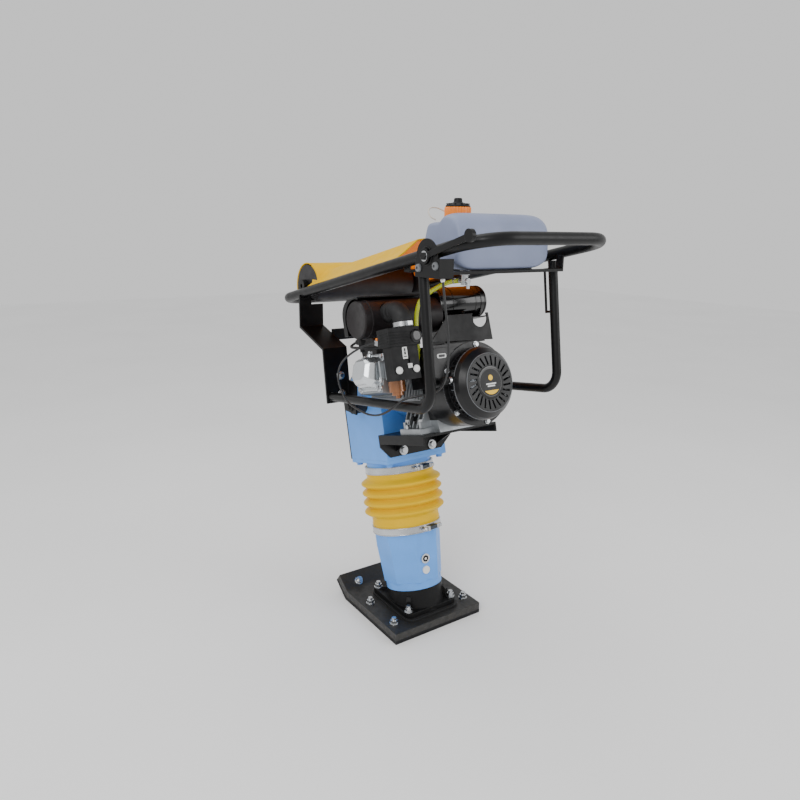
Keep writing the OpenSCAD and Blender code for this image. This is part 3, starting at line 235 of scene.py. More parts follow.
# ---------- finishes ----------
def linear(code):
    """Linear colour of an sRGB hex code."""
    parts = [int(code[k:k + 2], 16) / 255 for k in (1, 3, 5)]
    return tuple(c / 12.92 if c <= 0.04045 else ((c + 0.055) / 1.055) ** 2.4 for c in parts) + (1.0,)


FINISHES = {}


class Finish:
    """A finish in the making: its node tree, its shader's sockets and the object's coordinates."""

    def __init__(self, key, name):
        material = bpy.data.materials.new(name)
        material.use_nodes = True
        FINISHES[key] = material
        self.tree = material.node_tree
        self.shader = self.tree.nodes["Principled BSDF"].inputs
        self.at = self.node("ShaderNodeTexCoord", {}, "Object")

    def fill(self, sockets, values):
        """Links each input that comes from another node, and sets each that is a plain value."""
        for key, value in values.items():
            if isinstance(value, bpy.types.NodeSocket):
                self.tree.links.new(value, sockets[key])
            else:
                sockets[key].default_value = value

    def node(self, kind, inputs, output=0, **settings):
        """Adds a node with its settings and inputs, and gives one of its outputs."""
        node = self.tree.nodes.new(kind)
        for key, value in settings.items():
            setattr(node, key, value)
        self.fill(node.inputs, inputs)
        return node.outputs[output]


def span(value, low, high, start=0.3, end=0.7):
    """Inputs that spread a value from between start and end to between low and high."""
    return {"Value": value, "From Min": start, "From Max": end, "To Min": low, "To Max": high}


def patches(g, size_mm, detail, low=None, high=None, start=0.3, end=0.7, stretch=None):
    """Noise whose largest patch is about size_mm across, spread between two values where they are given."""
    at = g.node("ShaderNodeMapping", {"Vector": g.at, "Scale": stretch}) if stretch else g.at
    noise = g.node("ShaderNodeTexNoise", {"Vector": at, "Scale": 1 / (size_mm * MM), "Detail": detail}, "Fac")
    return noise if low is None else g.node("ShaderNodeMapRange", span(noise, low, high, start, end))


def rounded_edges(g, radius_mm):
    """Rounded-edge normal, and a mask that is 1 on the outer edges it rounds."""
    normal = g.node("ShaderNodeBevel", {"Radius": radius_mm * MM}, "Normal", samples=4)
    flat = g.node("ShaderNodeNewGeometry", {}, "Normal")
    match = g.node("ShaderNodeVectorMath", {0: normal, 1: flat}, "Value", operation="DOT_PRODUCT")
    return normal, g.node("ShaderNodeMapRange", span(match, 1.0, 0.0, 0.86, 0.995))


def surface(key, name, code, rough, metal=0.0, grain=1.0, depth=0.05, mottle=0.06, coat=0.0, edge=0.0,
            edge_code=None, edge_gain=0.35, brushed=None, dust=0.0, gloss=0.5):
    """A finish with patchy colour, uneven gloss, a fine grain in relief and, where asked, edges lightened in
    part as wear and in part as a painted highlight.
    """
    g = Finish(key, name)
    base = linear(code)
    dark = tuple(c * (1 - 2.2 * mottle) for c in base[:3]) + (1.0,)
    light = tuple(min(1.0, c * (1 + 1.6 * mottle)) for c in base[:3]) + (1.0,)
    # Patches of slightly darker and lighter colour, a hand's breadth across
    colour = g.node("ShaderNodeMix", {0: patches(g, 70, 4.0, 0.0, 1.0), 6: dark, 7: light}, 2,
        data_type="RGBA")
    # Grain or brush marks in relief
    relief = {"Distance": depth * MM, "Strength": 1.0, "Height": patches(g, grain, 2.0, stretch=brushed)}
    # Edges lightened in colour: part wear, part painted highlight
    if edge:
        relief["Normal"], mask = rounded_edges(g, edge)
        wear_and_highlight_tone = tuple(min(1.0, c * 1.35 + 0.03) for c in base[:3]) + (1.0,)
        lighter = linear(edge_code) if edge_code else wear_and_highlight_tone
        broken = g.node("ShaderNodeMath", {0: mask, 1: patches(g, 6, 3.0, 0.0, 1.0, 0.25, 0.6)},
            operation="MULTIPLY")
        share = g.node("ShaderNodeMath", {0: broken, 1: edge_gain}, operation="MULTIPLY")
        colour = g.node("ShaderNodeMix", {0: share, 6: colour, 7: lighter}, 2, data_type="RGBA")
    if dust:
        upward = g.node("ShaderNodeSeparateXYZ", {0: g.node("ShaderNodeNewGeometry", {}, "Normal")}, "Z")
        lying = g.node("ShaderNodeMapRange", span(upward, 0.0, dust, 0.3, 1.0))
        patchy = g.node("ShaderNodeMath", {0: lying, 1: patches(g, 25, 6.0)}, operation="MULTIPLY")
        colour = g.node("ShaderNodeMix", {0: patchy, 6: colour, 7: linear("#8f8a82")}, 2, data_type="RGBA")
    # The roughness varies a little, from handling
    handled = patches(g, 18, 5.0, rough * 0.85, min(1.0, rough * 1.2))
    g.fill(g.shader, {"Base Color": colour, "Roughness": handled, "Normal": g.node("ShaderNodeBump", relief)})
    g.fill(g.shader, {"Metallic": metal, "Specular IOR Level": gloss, "Coat Weight": coat,
                      "Coat Roughness": 0.12})
    return g.shader


def make_finishes(settings):
    """All finishes by key; each is named for the real finish it stands for."""
    # Sprayed enamel on a sand casting: orange peel over a coarser casting skin, with edges lightened, part
    # wear and part painted highlight
    surface("blue", "Light blue enamel on cast aluminium", settings.enamel, 0.4, grain=3.0, depth=0.05,
        mottle=0.035, coat=0.12, edge=2.2, edge_gain=0.45, gloss=0.35)
    # Brushed paint over rough iron: dull, with a coarse skin
    surface("black_cast", "Black paint on cast iron", "#0a0a0b", 0.5, grain=2.2, depth=0.18, mottle=0.12,
        edge=2.5, edge_gain=0.5, gloss=0.25)
    # Powder cures to a faint orange peel; its edges are lightened, part worn thin and part painted highlight
    surface("powder", "Black powder coat on steel", "#070708", 0.36, grain=1.2, depth=0.05, mottle=0.08,
        edge=1.5, edge_gain=0.5, gloss=0.3)
    # Mill scale with site dust lying on it; its edges are lightened grey, part rubbed bright and part painted
    # highlight
    surface("sole", "Hot rolled sole steel", "#1b1b1d", 0.55, metal=0.6, grain=5.0, depth=0.1, mottle=0.2,
        edge=1.2, edge_code="#8b8b8c", dust=0.12)
    # Zinc plate is bright and even, a little grey
    surface("zinc", "Bright zinc plate on steel", "#c6c8ca", 0.24, metal=1.0, grain=0.8, depth=0.02,
        mottle=0.08, edge=0.5)
    # Grinding lines too fine to see leave a soft gleam
    surface("machined", "Ground machine steel", "#9a9fa5", 0.25, metal=1.0, grain=0.6, depth=0.02,
        mottle=0.06)
    # Oil on hardened wire: dark, with narrow highlights
    surface("spring", "Oiled spring steel", "#5f666e", 0.3, metal=1.0, grain=0.8, depth=0.02, mottle=0.1)
    # Rubber is matt and deep black; its edges are lightened grey, part wear and part painted highlight
    surface("rubber", "Moulded black rubber", "#171718", 0.62, grain=0.9, depth=0.06, mottle=0.1, edge=0.8,
        edge_gain=0.3)
    # Shot blasting gives a fine matt grain; its edges are lightened, part wear and part painted highlight
    surface("cast_alloy", "Shot blasted cast aluminium", "#a9adb0", 0.46, metal=0.75, grain=1.1, depth=0.12,
        mottle=0.12, edge=1.5, edge_code="#e2e5e6", edge_gain=0.5)
    # Buffed under lacquer: broad soft reflections, with edges lightened near white, part wear and part
    # painted highlight
    surface("bright_alloy", "Buffed cast aluminium", "#d3d7da", 0.2, metal=0.92, grain=1.6, depth=0.03,
        mottle=0.05, coat=0.4, edge=1.0, edge_code="#f4f6f7")
    # A mould's texture gives nylon a fine dull grain
    surface("plastic", "Grained black nylon", "#08080a", 0.5, grain=0.7, depth=0.05, mottle=0.08, edge=0.9,
        edge_gain=0.5, gloss=0.3)
    # Pressed sheet under satin paint: smooth, with its rolled edges lightened, part wear and part painted
    # highlight
    surface("shroud", "Satin black sheet steel shroud", "#070709", 0.32, grain=2.0, depth=0.03, mottle=0.06,
        edge=1.6, edge_code="#4a4c50", edge_gain=0.8, gloss=0.4)
    # Sharp highlights that waver with the sheet below
    surface("gloss", "Gloss black enamel on steel", "#050506", 0.14, grain=6.0, depth=0.03, mottle=0.1,
        coat=0.3, edge=1.0, edge_gain=0.4)
    # Thin paint on a warm dark ground, half matt
    surface("can", "Warm dark grey paint on sheet steel", "#1d191a", 0.46, grain=1.0, depth=0.04, mottle=0.08,
        edge=1.0, edge_gain=0.5, gloss=0.35)
    # Stove paint burnt dull and patchy by heat
    surface("muffler", "Heat resistant black paint", "#1d1a19", 0.6, grain=0.8, depth=0.08, mottle=0.25,
        edge=1.0)
    # Grey painted highlight for the starter cover's raised rims; the throttle's screw heads take it as their
    # own grey
    surface("rim", "Grey painted rim highlight and screw grey", "#6f7174", 0.3, metal=0.3, grain=1.0, depth=0.02)
    # Smooth moulded plastic with a clean soft shine
    surface("white", "White moulded plastic", "#e4e4e2", 0.35, grain=0.8, depth=0.02, mottle=0.03, coat=0.2)
    # Extruded vinyl: an even low shine along its length
    surface("cable", "Black vinyl cable jacket", "#1c1c1d", 0.38, grain=0.6, depth=0.02, mottle=0.06)
    # Waxed braid: rough lengthwise strands and no shine
    surface("braid", "Brown waxed starter rope", "#6b4226", 0.7, grain=1.0, depth=0.3, mottle=0.2,
        brushed=(1.0, 0.35, 1.0))
    # Polypropylene is waxy, with soft wide highlights
    surface("orange", "Orange polypropylene", "#ff8a14", 0.36, grain=0.8, depth=0.03, mottle=0.04, coat=0.15,
        edge=0.6)
    # Pale nylon, even and half matt
    surface("strap", "Translucent nylon tether", "#d9d2c6", 0.4, grain=0.8, depth=0.02, mottle=0.04)
    # Coated paper, flat and even
    surface("label", "Printed paper label", "#dfe0de", 0.45, grain=0.5, depth=0.01, mottle=0.03)
    surface("ink", "Black label ink", "#19191a", 0.4, grain=0.5, depth=0.01)
    surface("badge_yellow", "Yellow badge enamel", "#f0c000", 0.35, grain=0.6, depth=0.01)
    surface("badge_black", "Black badge enamel", "#040405", 0.3, grain=0.6, depth=0.01, gloss=0.3)
    # Polyethylene rubbed dull by ropes and hands
    surface("roller", "Dark polyethylene roller", "#201e20", 0.5, grain=1.5, depth=0.06, mottle=0.12)

    # Moulded urethane is smooth and rich in colour, with little shine
    surface("bellows", "Yellow urethane bellows", settings.bellows_colour, 0.36, grain=1.2, depth=0.03,
        mottle=0.02, gloss=0.12)
    # Rotomoulding leaves a faint pebble and an even, quiet surface
    surface("hood", "Yellow rotomoulded polyethylene", settings.hood_colour, 0.45, grain=1.0, depth=0.05,
        mottle=0.02, gloss=0.08)
    # Painted glow and shade: the inside is coloured orange and made to glow, standing in for daylight through
    # the moulded wall
    inside = surface("hood_inside_painted_glow", "Painted orange glow inside the hood", "#ff8a00", 0.5, grain=1.0, depth=0.05,
        mottle=0.05, gloss=0.2)
    inside["Emission Color"].default_value = linear("#ff7a00")
    inside["Emission Strength"].default_value = 0.35
    # Milky tank: light goes a little way in, and its thin edges are painted paler as a painted highlight
    tank = surface("tank", "Translucent grey polyethylene tank", settings.tank_colour, 0.4, grain=1.4,
        depth=0.05, mottle=0.035, edge=4.0, edge_code="#b4bbd0", edge_gain=0.7, gloss=0.35)
    tank["Subsurface Weight"].default_value = 0.1
    tank["Subsurface Radius"].default_value = (0.012, 0.012, 0.016)
    hose = surface("hose", "Yellow clear fuel hose", "#c2cc28", 0.18, grain=1.0, depth=0.02, mottle=0.05,
        coat=0.5)
    hose["Transmission Weight"].default_value = 0.25
    hose["IOR"].default_value = 1.45
    bowl = surface("bowl", "Amber fuel strainer bowl", "#a5683a", 0.2, metal=0.35, grain=1.5, depth=0.03,
        mottle=0.15, coat=0.7)
    bowl["Transmission Weight"].default_value = 0.2
    two_tone("block", "Cast engine foot under a black shroud", "#b4b8bb", "#09090a", 556, 0.4, 0.7, 0.1)
    two_tone("case_bolts", "Blue painted and zinc bolts", settings.enamel, "#c6c8ca", 458, 0.35, 0.1, 1.0)
    board_finish()


def board_finish():
    """Pressed black shoe board: dark faces, with plies that show as thin pale lines on its edges."""
    g = Finish("board", "Laminated black shoe board")
    ply = g.node("ShaderNodeAttribute", {}, "Fac", attribute_name="ply")
    plies = g.node("ShaderNodeMath", {0: ply, 1: 7.0}, operation="MULTIPLY")
    wave = g.node("ShaderNodeMath", {0: plies}, operation="FRACT")
    line = g.node("ShaderNodeMapRange", span(wave, 1.0, 0.0, 0.02, 0.22))
    upward = g.node("ShaderNodeSeparateXYZ", {0: g.node("ShaderNodeNewGeometry", {}, "Normal")}, "Z")
    level = g.node("ShaderNodeMath", {0: upward}, operation="ABSOLUTE")
    on_edge = g.node("ShaderNodeMapRange", span(level, 1.0, 0.0, 0.3, 0.6))
    fibre = patches(g, 5, 4.0, stretch=(0.3, 1.0, 1.0))
    weave = g.node("ShaderNodeMapRange", span(fibre, 0.0, 1.0))
    face = g.node("ShaderNodeMix", {0: weave, 6: linear("#161615"), 7: linear("#232221")}, 2,
        data_type="RGBA")
    edge_line = g.node("ShaderNodeMath", {0: line, 1: on_edge}, operation="MULTIPLY")
    broken = g.node("ShaderNodeMath", {0: edge_line, 1: patches(g, 14, 4.0, 0.15, 0.9)}, operation="MULTIPLY")
    colour = g.node("ShaderNodeMix", {0: broken, 6: face, 7: linear("#7a746c")}, 2, data_type="RGBA")
    relief = {"Distance": 0.08 * MM, "Strength": 1.0, "Height": fibre}
    g.fill(g.shader, {"Base Color": colour, "Roughness": patches(g, 12, 4.0, 0.38, 0.6),
        "Normal": g.node("ShaderNodeBump", relief)})


def two_tone(key, name, below, above, height_mm, rough, metal_below, metal_above):
    """One finish below a height along the leg and another above it, by a dot product with the leg's axis."""
    g = Finish(key, name)
    axis = LEG[:3, 2]
    along = g.node("ShaderNodeVectorMath", {0: g.at, 1: tuple(axis)}, "Value", operation="DOT_PRODUCT")
    start = height_mm * MM + float(axis @ LEG[:3, 3]) * MM
    upper = g.node("ShaderNodeMapRange", span(along, 0.0, 1.0, start, start + 0.0005))
    colour = g.node("ShaderNodeMix", {0: upper, 6: linear(below), 7: linear(above)}, 2, data_type="RGBA")
    shade = {0: patches(g, 40, 4.0, 0.78, 1.0), 6: linear("#000000"), 7: colour}
    normal, _ = rounded_edges(g, 1.5)
    relief = {"Distance": 0.1 * MM, "Strength": 1.0, "Height": patches(g, 1.2, 2.0), "Normal": normal}
    g.fill(g.shader, {
        "Base Color": g.node("ShaderNodeMix", shade, 2, data_type="RGBA"),
        "Metallic": g.node("ShaderNodeMapRange", span(upper, metal_below, metal_above, 0.0, 1.0)),
        "Roughness": patches(g, 15, 4.0, rough * 0.85, rough * 1.2),
        "Normal": g.node("ShaderNodeBump", relief)})


NODE_FINISHES = {
    "sole": ["sole_plate"],
    "zinc": ["shoe_bolts", "oil_sight", "lower_clamp", "upper_clamp", "engine_bolts",
             "elbow_clamp", "petcock", "petcock_lever"],
    "rubber": ["foot_gasket", "rubber_mounts", "plug_cap"],
    "black_cast": ["foot_casting"],
    "blue": ["lower_cylinder", "guide_cylinder", "crankcase"],
    "white": ["drain_plug", "choke_lever"],
    "machined": ["spring_cylinder", "crank_bearings", "crank_gear", "connecting_rod", "piston_rod",
                 "clutch_drum", "engine_crank", "roller_axle"],
    "spring": ["rammer_springs"],
    "powder": ["crankcase_cover", "engine_bracket", "filter_bracket", "filter_guard", "throttle_housing",
               "throttle_lever", "handle_loop", "side_frames", "front_brackets"],
    "case_bolts": ["crankcase_bolts"],
    "block": ["engine_block"],
    "cast_alloy": ["cylinder_head", "carburettor"],
    "plastic": ["intake_box"],
    "can": ["filter_can"],
    "gloss": ["filter_canister"],
    "shroud": ["blower_housing", "recoil_cover"],
    "muffler": ["muffler"],
    "bowl": ["carb_bowl"],
    "roller": ["transport_roller"],
}


def dress_nodes():
    """Every carried-over CAD node takes its finish; the shape stays the CAD's own."""
    for key, nodes in NODE_FINISHES.items():
        for name in nodes:
            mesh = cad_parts[name].data
            mesh.materials.clear()
            mesh.materials.append(FINISHES[key])


# ---------- shoe ----------
SHOE_REAR = 150
TOE_BEND = -116
TOE_LENGTH = 65
TOE_ANGLE = math.radians(36)
PLY_ROWS = 4


def shoe_line(height, steps=10, ease=9):
    """Side line of the shoe at a height over the sole: flat, then a short parabola, then the straight toe."""
    cos, sin = math.cos(TOE_ANGLE), math.sin(TOE_ANGLE)
    bend = np.array([TOE_BEND + height * math.tan(TOE_ANGLE / 2), height])
    end = [TOE_BEND - TOE_LENGTH * cos + height * sin, TOE_LENGTH * sin + height * cos]
    k = np.linspace(0, 1, steps)[:, None]
    start, rise = bend + np.array([ease, 0]), bend + ease * np.array([-cos, sin])
    curve = (1 - k) ** 2 * start + 2 * k * (1 - k) * bend + k ** 2 * rise
    return np.vstack([[[SHOE_REAR, height]], curve, [end]])


def at_side(flat, y):
    """Points of a side view (X, Z) stood at one Y."""
    return np.column_stack([flat[:, 0], np.full(len(flat), y), flat[:, 1]])


def make_shoe_board(width):
    """The board under the castings, with a ply value that rises from its lower to its upper face."""
    low, high = shoe_line(10), shoe_line(31)
    n, m = len(low), 2 * len(low) + 2 * (PLY_ROWS - 1)
    levels = np.arange(PLY_ROWS + 1) / PLY_ROWS
    between = levels[1:-1]
    grid = low + (high - low) * levels[:, None, None]
    outline = np.vstack([grid[0], grid[1:-1, -1], grid[-1, ::-1], grid[-2:0:-1, 0]])
    depth = np.concatenate([np.zeros(n), between, np.ones(n), between[::-1]])
    # The side caps carry a grid of their own, so the ply value runs evenly over them
    inner = grid[1:-1, 1:-1].reshape(-1, 2)
    rows = np.arange(PLY_ROWS - 1)
    index = np.empty(grid.shape[:2], int)
    index[0] = np.arange(n)
    index[1:-1, -1] = n + rows
    index[1:-1, 0] = m - 1 - rows
    index[1:-1, 1:-1] = 2 * m + rows[:, None] * (n - 2) + np.arange(n - 2)
    index[-1] = np.arange(2 * n + PLY_ROWS - 2, n + PLY_ROWS - 2, -1)
    cells = np.stack([index[:-1, :-1], index[:-1, 1:], index[1:, 1:], index[1:, :-1]], axis=2).reshape(-1, 4)
    opposite = np.where(cells < m, cells + m, cells + len(inner))
    faces = grid_quads(2, m).tolist() + cells[:, ::-1].tolist() + opposite.tolist()
    points = np.vstack([at_side(flat, y) for flat in (outline, inner) for y in (-width / 2, width / 2)])
    obj = piece("shoe_board_laminate", (points, faces), WORLD, "foot", "board", bevel=1.2,
        replaces=("shoe_board",))
    plies = np.concatenate([depth, depth, np.repeat(between, n - 2), np.repeat(between, n - 2)])
    attribute = obj.data.attributes.new("ply", "FLOAT", "POINT")
    attribute.data.foreach_set("value", plies.astype(np.float32))


# ---------- leg ----------
def make_bellows():
    """Bellows with round bulges and tight valleys: the radius follows a power of a raised cosine."""
    s = np.linspace(290.65, 395.85, 161)
    valley_r, swell, first_crest, pitch = 97, 15.7, 303.8, 26.3
    wave = valley_r + swell * (0.5 + 0.5 * np.cos(2 * np.pi * (s - first_crest) / pitch)) ** 0.62
    outer = np.column_stack([wave, s])
    start = [(93.6, 243.6), (94, 244.4), (94, 262), (94, 266), (95.2, 268.5), (95.2, 271), (94, 273.5),
        (94, 285), (94.6, 288.5)]
    end = [(94.6, 398), (94, 401), (94, 404), (95.2, 406), (95.2, 408.5), (94, 410), (94, 429.6),
        (93.6, 430.4)]
    outline = np.vstack([start, outer, end])
    inside = np.column_stack([outline[::-1, 0] - 3, outline[::-1, 1]])
    obj = piece("bellows_skin", lathe(np.vstack([outline, inside]), 128), LEG, None, "bellows",
        sharp=60, replaces=("bellows",))
    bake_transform(obj)


def coil(radius, wire, length, turns, sides=8):
    """Helix of wire about Z: the angle grows evenly with height."""
    t = np.linspace(0, 1, turns * 14 + 1)
    path = np.column_stack([arc(0, 0, radius, 2 * np.pi * turns * t), length * t])
    return sweep(path, wire, sides, ref=(0, 0, 1))


def make_clamp_details():
    """Spring on each clamp's bolt, the nut beyond it and the band's rolled edges."""
    for name, s, body in (("lower", 243, "foot"), ("upper", 411, "machine")):
        bolt = LEG @ turn("Z", 9) @ shift(105, 0, s + 10) @ TO_LEFT
        spring = moved(coil(5.2, 1.0, 24, 9), shift(0, 0, -11.5))
        piece(f"{name}_clamp_spring", spring, bolt, body, "spring", sharp=80)
        nut = knob([(0, 0), (5, 0), (6.2, 1), (6.2, 6), (5, 7), (0, 7)], 6)
        piece(f"{name}_clamp_nut", moved(nut, shift(0, 0, 23)), bolt, body, "zinc", bevel=0.4)
        bead = lathe([(96.1, 0), (97, 0.3), (97.3, 0.9), (97, 1.5), (96.1, 1.8)])
        bands = [moved(bead, shift(0, 0, z)) for z in (0.8, 17.4)]
        piece(f"{name}_clamp_beads", merged(*bands), LEG @ shift(0, 0, s), body, "zinc")


def make_leg_details():
    """Glass and centre dot of the oil sight, on the lower cylinder's rear facet."""
    facet = LEG @ shift(76.5 + 11.5 * 65 / 139, -8, 169) @ turn("Y", 90 + 4.7)
    glass = knob([(0, 2.2), (8.6, 2.2), (8.6, 3.0), (6, 3.5), (0, 3.8)], 48)
    piece("sight_glass", glass, facet, "foot", "badge_black")
    drop = knob([(0, 3.7), (3.4, 3.8), (3.4, 4.3), (0, 4.5)], 32)
    piece("sight_centre", drop, facet, "foot", "white")


# ---------- hood ----------
def arch_height(y):
    """Height of the hood's panel across its width: flat crown, sloping shoulders and low edges."""
    return np.interp(np.abs(y), [0, 110, 129, 150, 170, 181, 189], [56, 55, 53, 38.5, 25, 18.5, 13.4])


def sheet(x, y, z):
    """Open sheet over a grid of points that faces up."""
    points = np.stack([x, y, z], axis=2)
    return points.reshape(-1, 3), grid_quads(*x.shape, close_cols=False)[:, [0, 3, 2, 1]].tolist()


def hood_panel():
    """Height field over the slope: the smooth greater of the arch and the roll's circle."""
    x = np.concatenate([np.linspace(-233, -180, 34), np.linspace(-176, 208, 60)])
    y = np.concatenate([np.linspace(-189, -165, 17), np.linspace(-160, 160, 65), np.linspace(165, 189, 17)])
    gx, gy = np.meshgrid(x, y, indexing="ij")
    arch = arch_height(gy)
    roll = ROLL_Z + 0.3 + np.sqrt(np.maximum(ROLL_R ** 2 - (gx - ROLL_X) ** 2, 0))
    inside = np.clip((ROLL_HALF - np.abs(gy)) / 2.5, 0, 1)
    roll = np.where(inside > 0, roll * inside + 13 * (1 - inside), 0)
    k = 9.0
    h = np.clip(0.5 + 0.5 * (roll - arch) / k, 0, 1)
    top = arch * (1 - h) + roll * h + k * h * (1 - h)
    # A shallow pressed step along the middle keeps the panel stiff
    across = np.clip((104 - np.abs(gy)) / 8, 0, 1)
    swage = 3.0 * across * np.clip((gx + 170) / 12, 0, 1) * np.clip((188 - gx) / 12, 0, 1)
    return sheet(gx, gy, top + swage)


def hood_roll():
    """Half tube over the roller, open at its ends, from its front edge to where the panel takes over."""
    angle = np.radians(np.linspace(181.5, 60, 60))
    ga, gy = np.meshgrid(angle, np.linspace(-ROLL_HALF, ROLL_HALF, 48), indexing="ij")
    r = ROLL_R + 1.2 * np.clip((np.abs(gy) - ROLL_HALF + 12) / 12, 0, 1) ** 2
    return sheet(ROLL_X + r * np.cos(ga), gy, ROLL_Z + r * np.sin(ga))


def make_roll_ends():
    """Dark plates that close the roll's two ends down to the handle tube: a disc cut flat below."""
    outline = arc(ROLL_X, ROLL_Z, ROLL_R - 4.5, np.radians(np.linspace(-28, 208, 48)))
    plates = []
    for y in (0.4 - ROLL_HALF, ROLL_HALF - 3.4):
        points, faces = prism(outline, y, y + 3)
        plates.append((points[:, [0, 2, 1]], [f[::-1] for f in faces]))
    piece("roll_end_plates", merged(*plates), HANDLE, "machine", "roller", bevel=0.8)


def make_hood(wall_thickness):
    """The yellow hood as two moulded sheets of even wall, with a painted orange glow on the inside of the
    panel.
    """
    make_roll_ends()
    for name, shape in (("hood_panel", hood_panel()), ("hood_roll", hood_roll())):
        obj = piece(name, shape, HANDLE, "machine", "hood", sharp=60, replaces=("top_cover",))
        obj.data.materials.append(FINISHES["hood_inside_painted_glow"])
        wall = obj.modifiers.new("Wall", "SOLIDIFY")
        wall.thickness = wall_thickness
        wall.offset = -1.0
        wall.material_offset = 1 if name == "hood_panel" else 0
        wall.material_offset_rim = 0
        rim = obj.modifiers.new("Rounded rim", "BEVEL")
        rim.width = 0.9 * MM
        rim.segments = 2
        rim.limit_method = "ANGLE"
        rim.angle_limit = math.radians(60)


# ---------- tank and cap ----------
NECK_AT = (240, -58)


def tank_rings():
    """Cross-sections of the tank along its width: a side outline drawn in towards both ends."""
    side = np.array([(203, 1004), (206, 990), (216, 975), (230, 972), (322, 972), (334, 976), (340, 988),
        (340, 1030), (338, 1052), (330, 1072), (314, 1086), (300, 1090), (285, 1090), (276, 1086),
        (268, 1075), (258, 1072), (234, 1072), (224, 1069), (219, 1060), (212, 1034)], float)
    middle = np.array([272, 1028])
    stations = [(-130, 0.80), (-129.6, 0.87), (-127, 0.935), (-121, 0.975), (-110, 0.995), (-92, 1.0),
        (-50, 1.0), (0, 1.0), (50, 1.0), (92, 1.0), (110, 0.995), (121, 0.975), (127, 0.935), (129.6, 0.87),
        (130, 0.80)]
    rings = []
    for y, share in stations:
        ring = middle + (side - middle) * share
        reach = (abs(y) - 92) / 38
        lift = 16 * max(0.0, reach) ** 1.5
        low = np.clip((1010 - ring[:, 1]) / 38, 0, 1)
        ring[:, 1] += lift * low - 5 * max(0.0, reach) ** 2 * np.clip((ring[:, 1] - 1060) / 30, 0, 1)
        rings.append(at_side(ring, y))
    return np.array(rings)


def make_tank():
    """Blow-moulded tank with soft corners, and its neck."""
    points, faces = loft(tank_rings())
    obj = piece("tank_shell", (points, [f[::-1] for f in faces]), WORLD, "machine", "tank",
        sharp=80, replaces=("fuel_tank",))
    soft = obj.modifiers.new("Soft corners", "SUBSURF")
    soft.levels = 2
    soft.render_levels = 2
    neck = lathe([(23, 1070), (23, 1078), (24.5, 1079), (24.5, 1081), (23, 1082), (23, 1094), (20, 1094),
        (20, 1070)])
    piece("tank_neck", neck, shift(*NECK_AT, 0), "machine", "tank")


def ribbed(radius, height, ribs, depth, base):
    """Cap wall with ribs: the radius follows a cosine round the axis, with its peaks and dips cut flat."""
    angles = np.linspace(0, 2 * np.pi, ribs * 8, endpoint=False)
    swing = depth * np.clip(np.cos(ribs * angles) * 1.6, -1, 1)
    heights = [base, base + 0.6, base + height - 2.4, base + height - 0.6, base + height]
    shares = [0.985, 1.0, 1.0, 0.985, 0.955]
    rings = []
    for z, share in zip(heights, shares):
        outline = arc(0, 0, (radius - depth + swing) * share, angles)
        rings.append(np.column_stack([outline, np.full(len(angles), z)]))
    return loft(rings)


def make_cap(ribs):
    """Ribbed orange cap with a black vented top, both turning with the cap."""
    place = shift(*NECK_AT, 0)
    piece("cap_ribs", ribbed(29, 25, ribs, 1.0, 1078), place, "fuel_cap", "orange", sharp=50,
        replaces=("fuel_cap",))
    dome = [(0, 1102.5), (26, 1102.5), (27.2, 1104), (26.6, 1106), (23, 1108.6), (17, 1111), (10.5, 1112.5),
        (9.2, 1115), (9, 1119.4), (7.8, 1121.4), (5, 1121.9), (0, 1122)]
    piece("cap_dome", knob(dome), place, "fuel_cap", "plastic", sharp=50)
    lug = prism(rounded(1.6, 5.5, 1.2, 3), 0, 2.6)
    lugs = [moved(lug, turn("Z", 36 * k) @ shift(0, 20, 1108)) for k in range(10)]
    piece("cap_lugs", merged(*lugs), place, "fuel_cap", "plastic", bevel=0.5)


# ---------- routes ----------
THROTTLE = [(366, -192, 962), (370, -192, 940), (377, -191, 900), (380, -186, 855), (375, -179, 812),
    (362, -171, 768), (337, -165, 734), (302, -163, 713), (272, -172, 703), (248, -196, 693),
    (225, -216, 668), (190, -222, 648), (148, -224, 638), (108, -226, 639), (58, -229, 648), (30, -232, 672),
    (22, -236, 702), (38, -240, 734), (70, -240, 762), (112, -232, 788), (146, -218, 805), (158, -212, 806)]
LEAD = [(46, -196, 790), (36, -198, 786), (34, -206, 780), (46, -211, 779), (66, -211, 781), (92, -209, 784),
    (118, -205, 787), (138, -191, 790), (148, -168, 790), (150, -140, 786)]
HOSE = [(277.5, -80, 948), (266, -84, 947), (246, -100, 938), (218, -116, 918), (198, -124, 898),
    (192, -128, 870), (195, -130, 840), (202, -130, 800), (206, -133, 768), (204, -140, 748)]
TETHER = [(214, -74, 1094), (210, -92, 1101), (213, -112, 1100), (222, -124, 1092), (230, -123, 1081),
    (234, -112, 1075)]


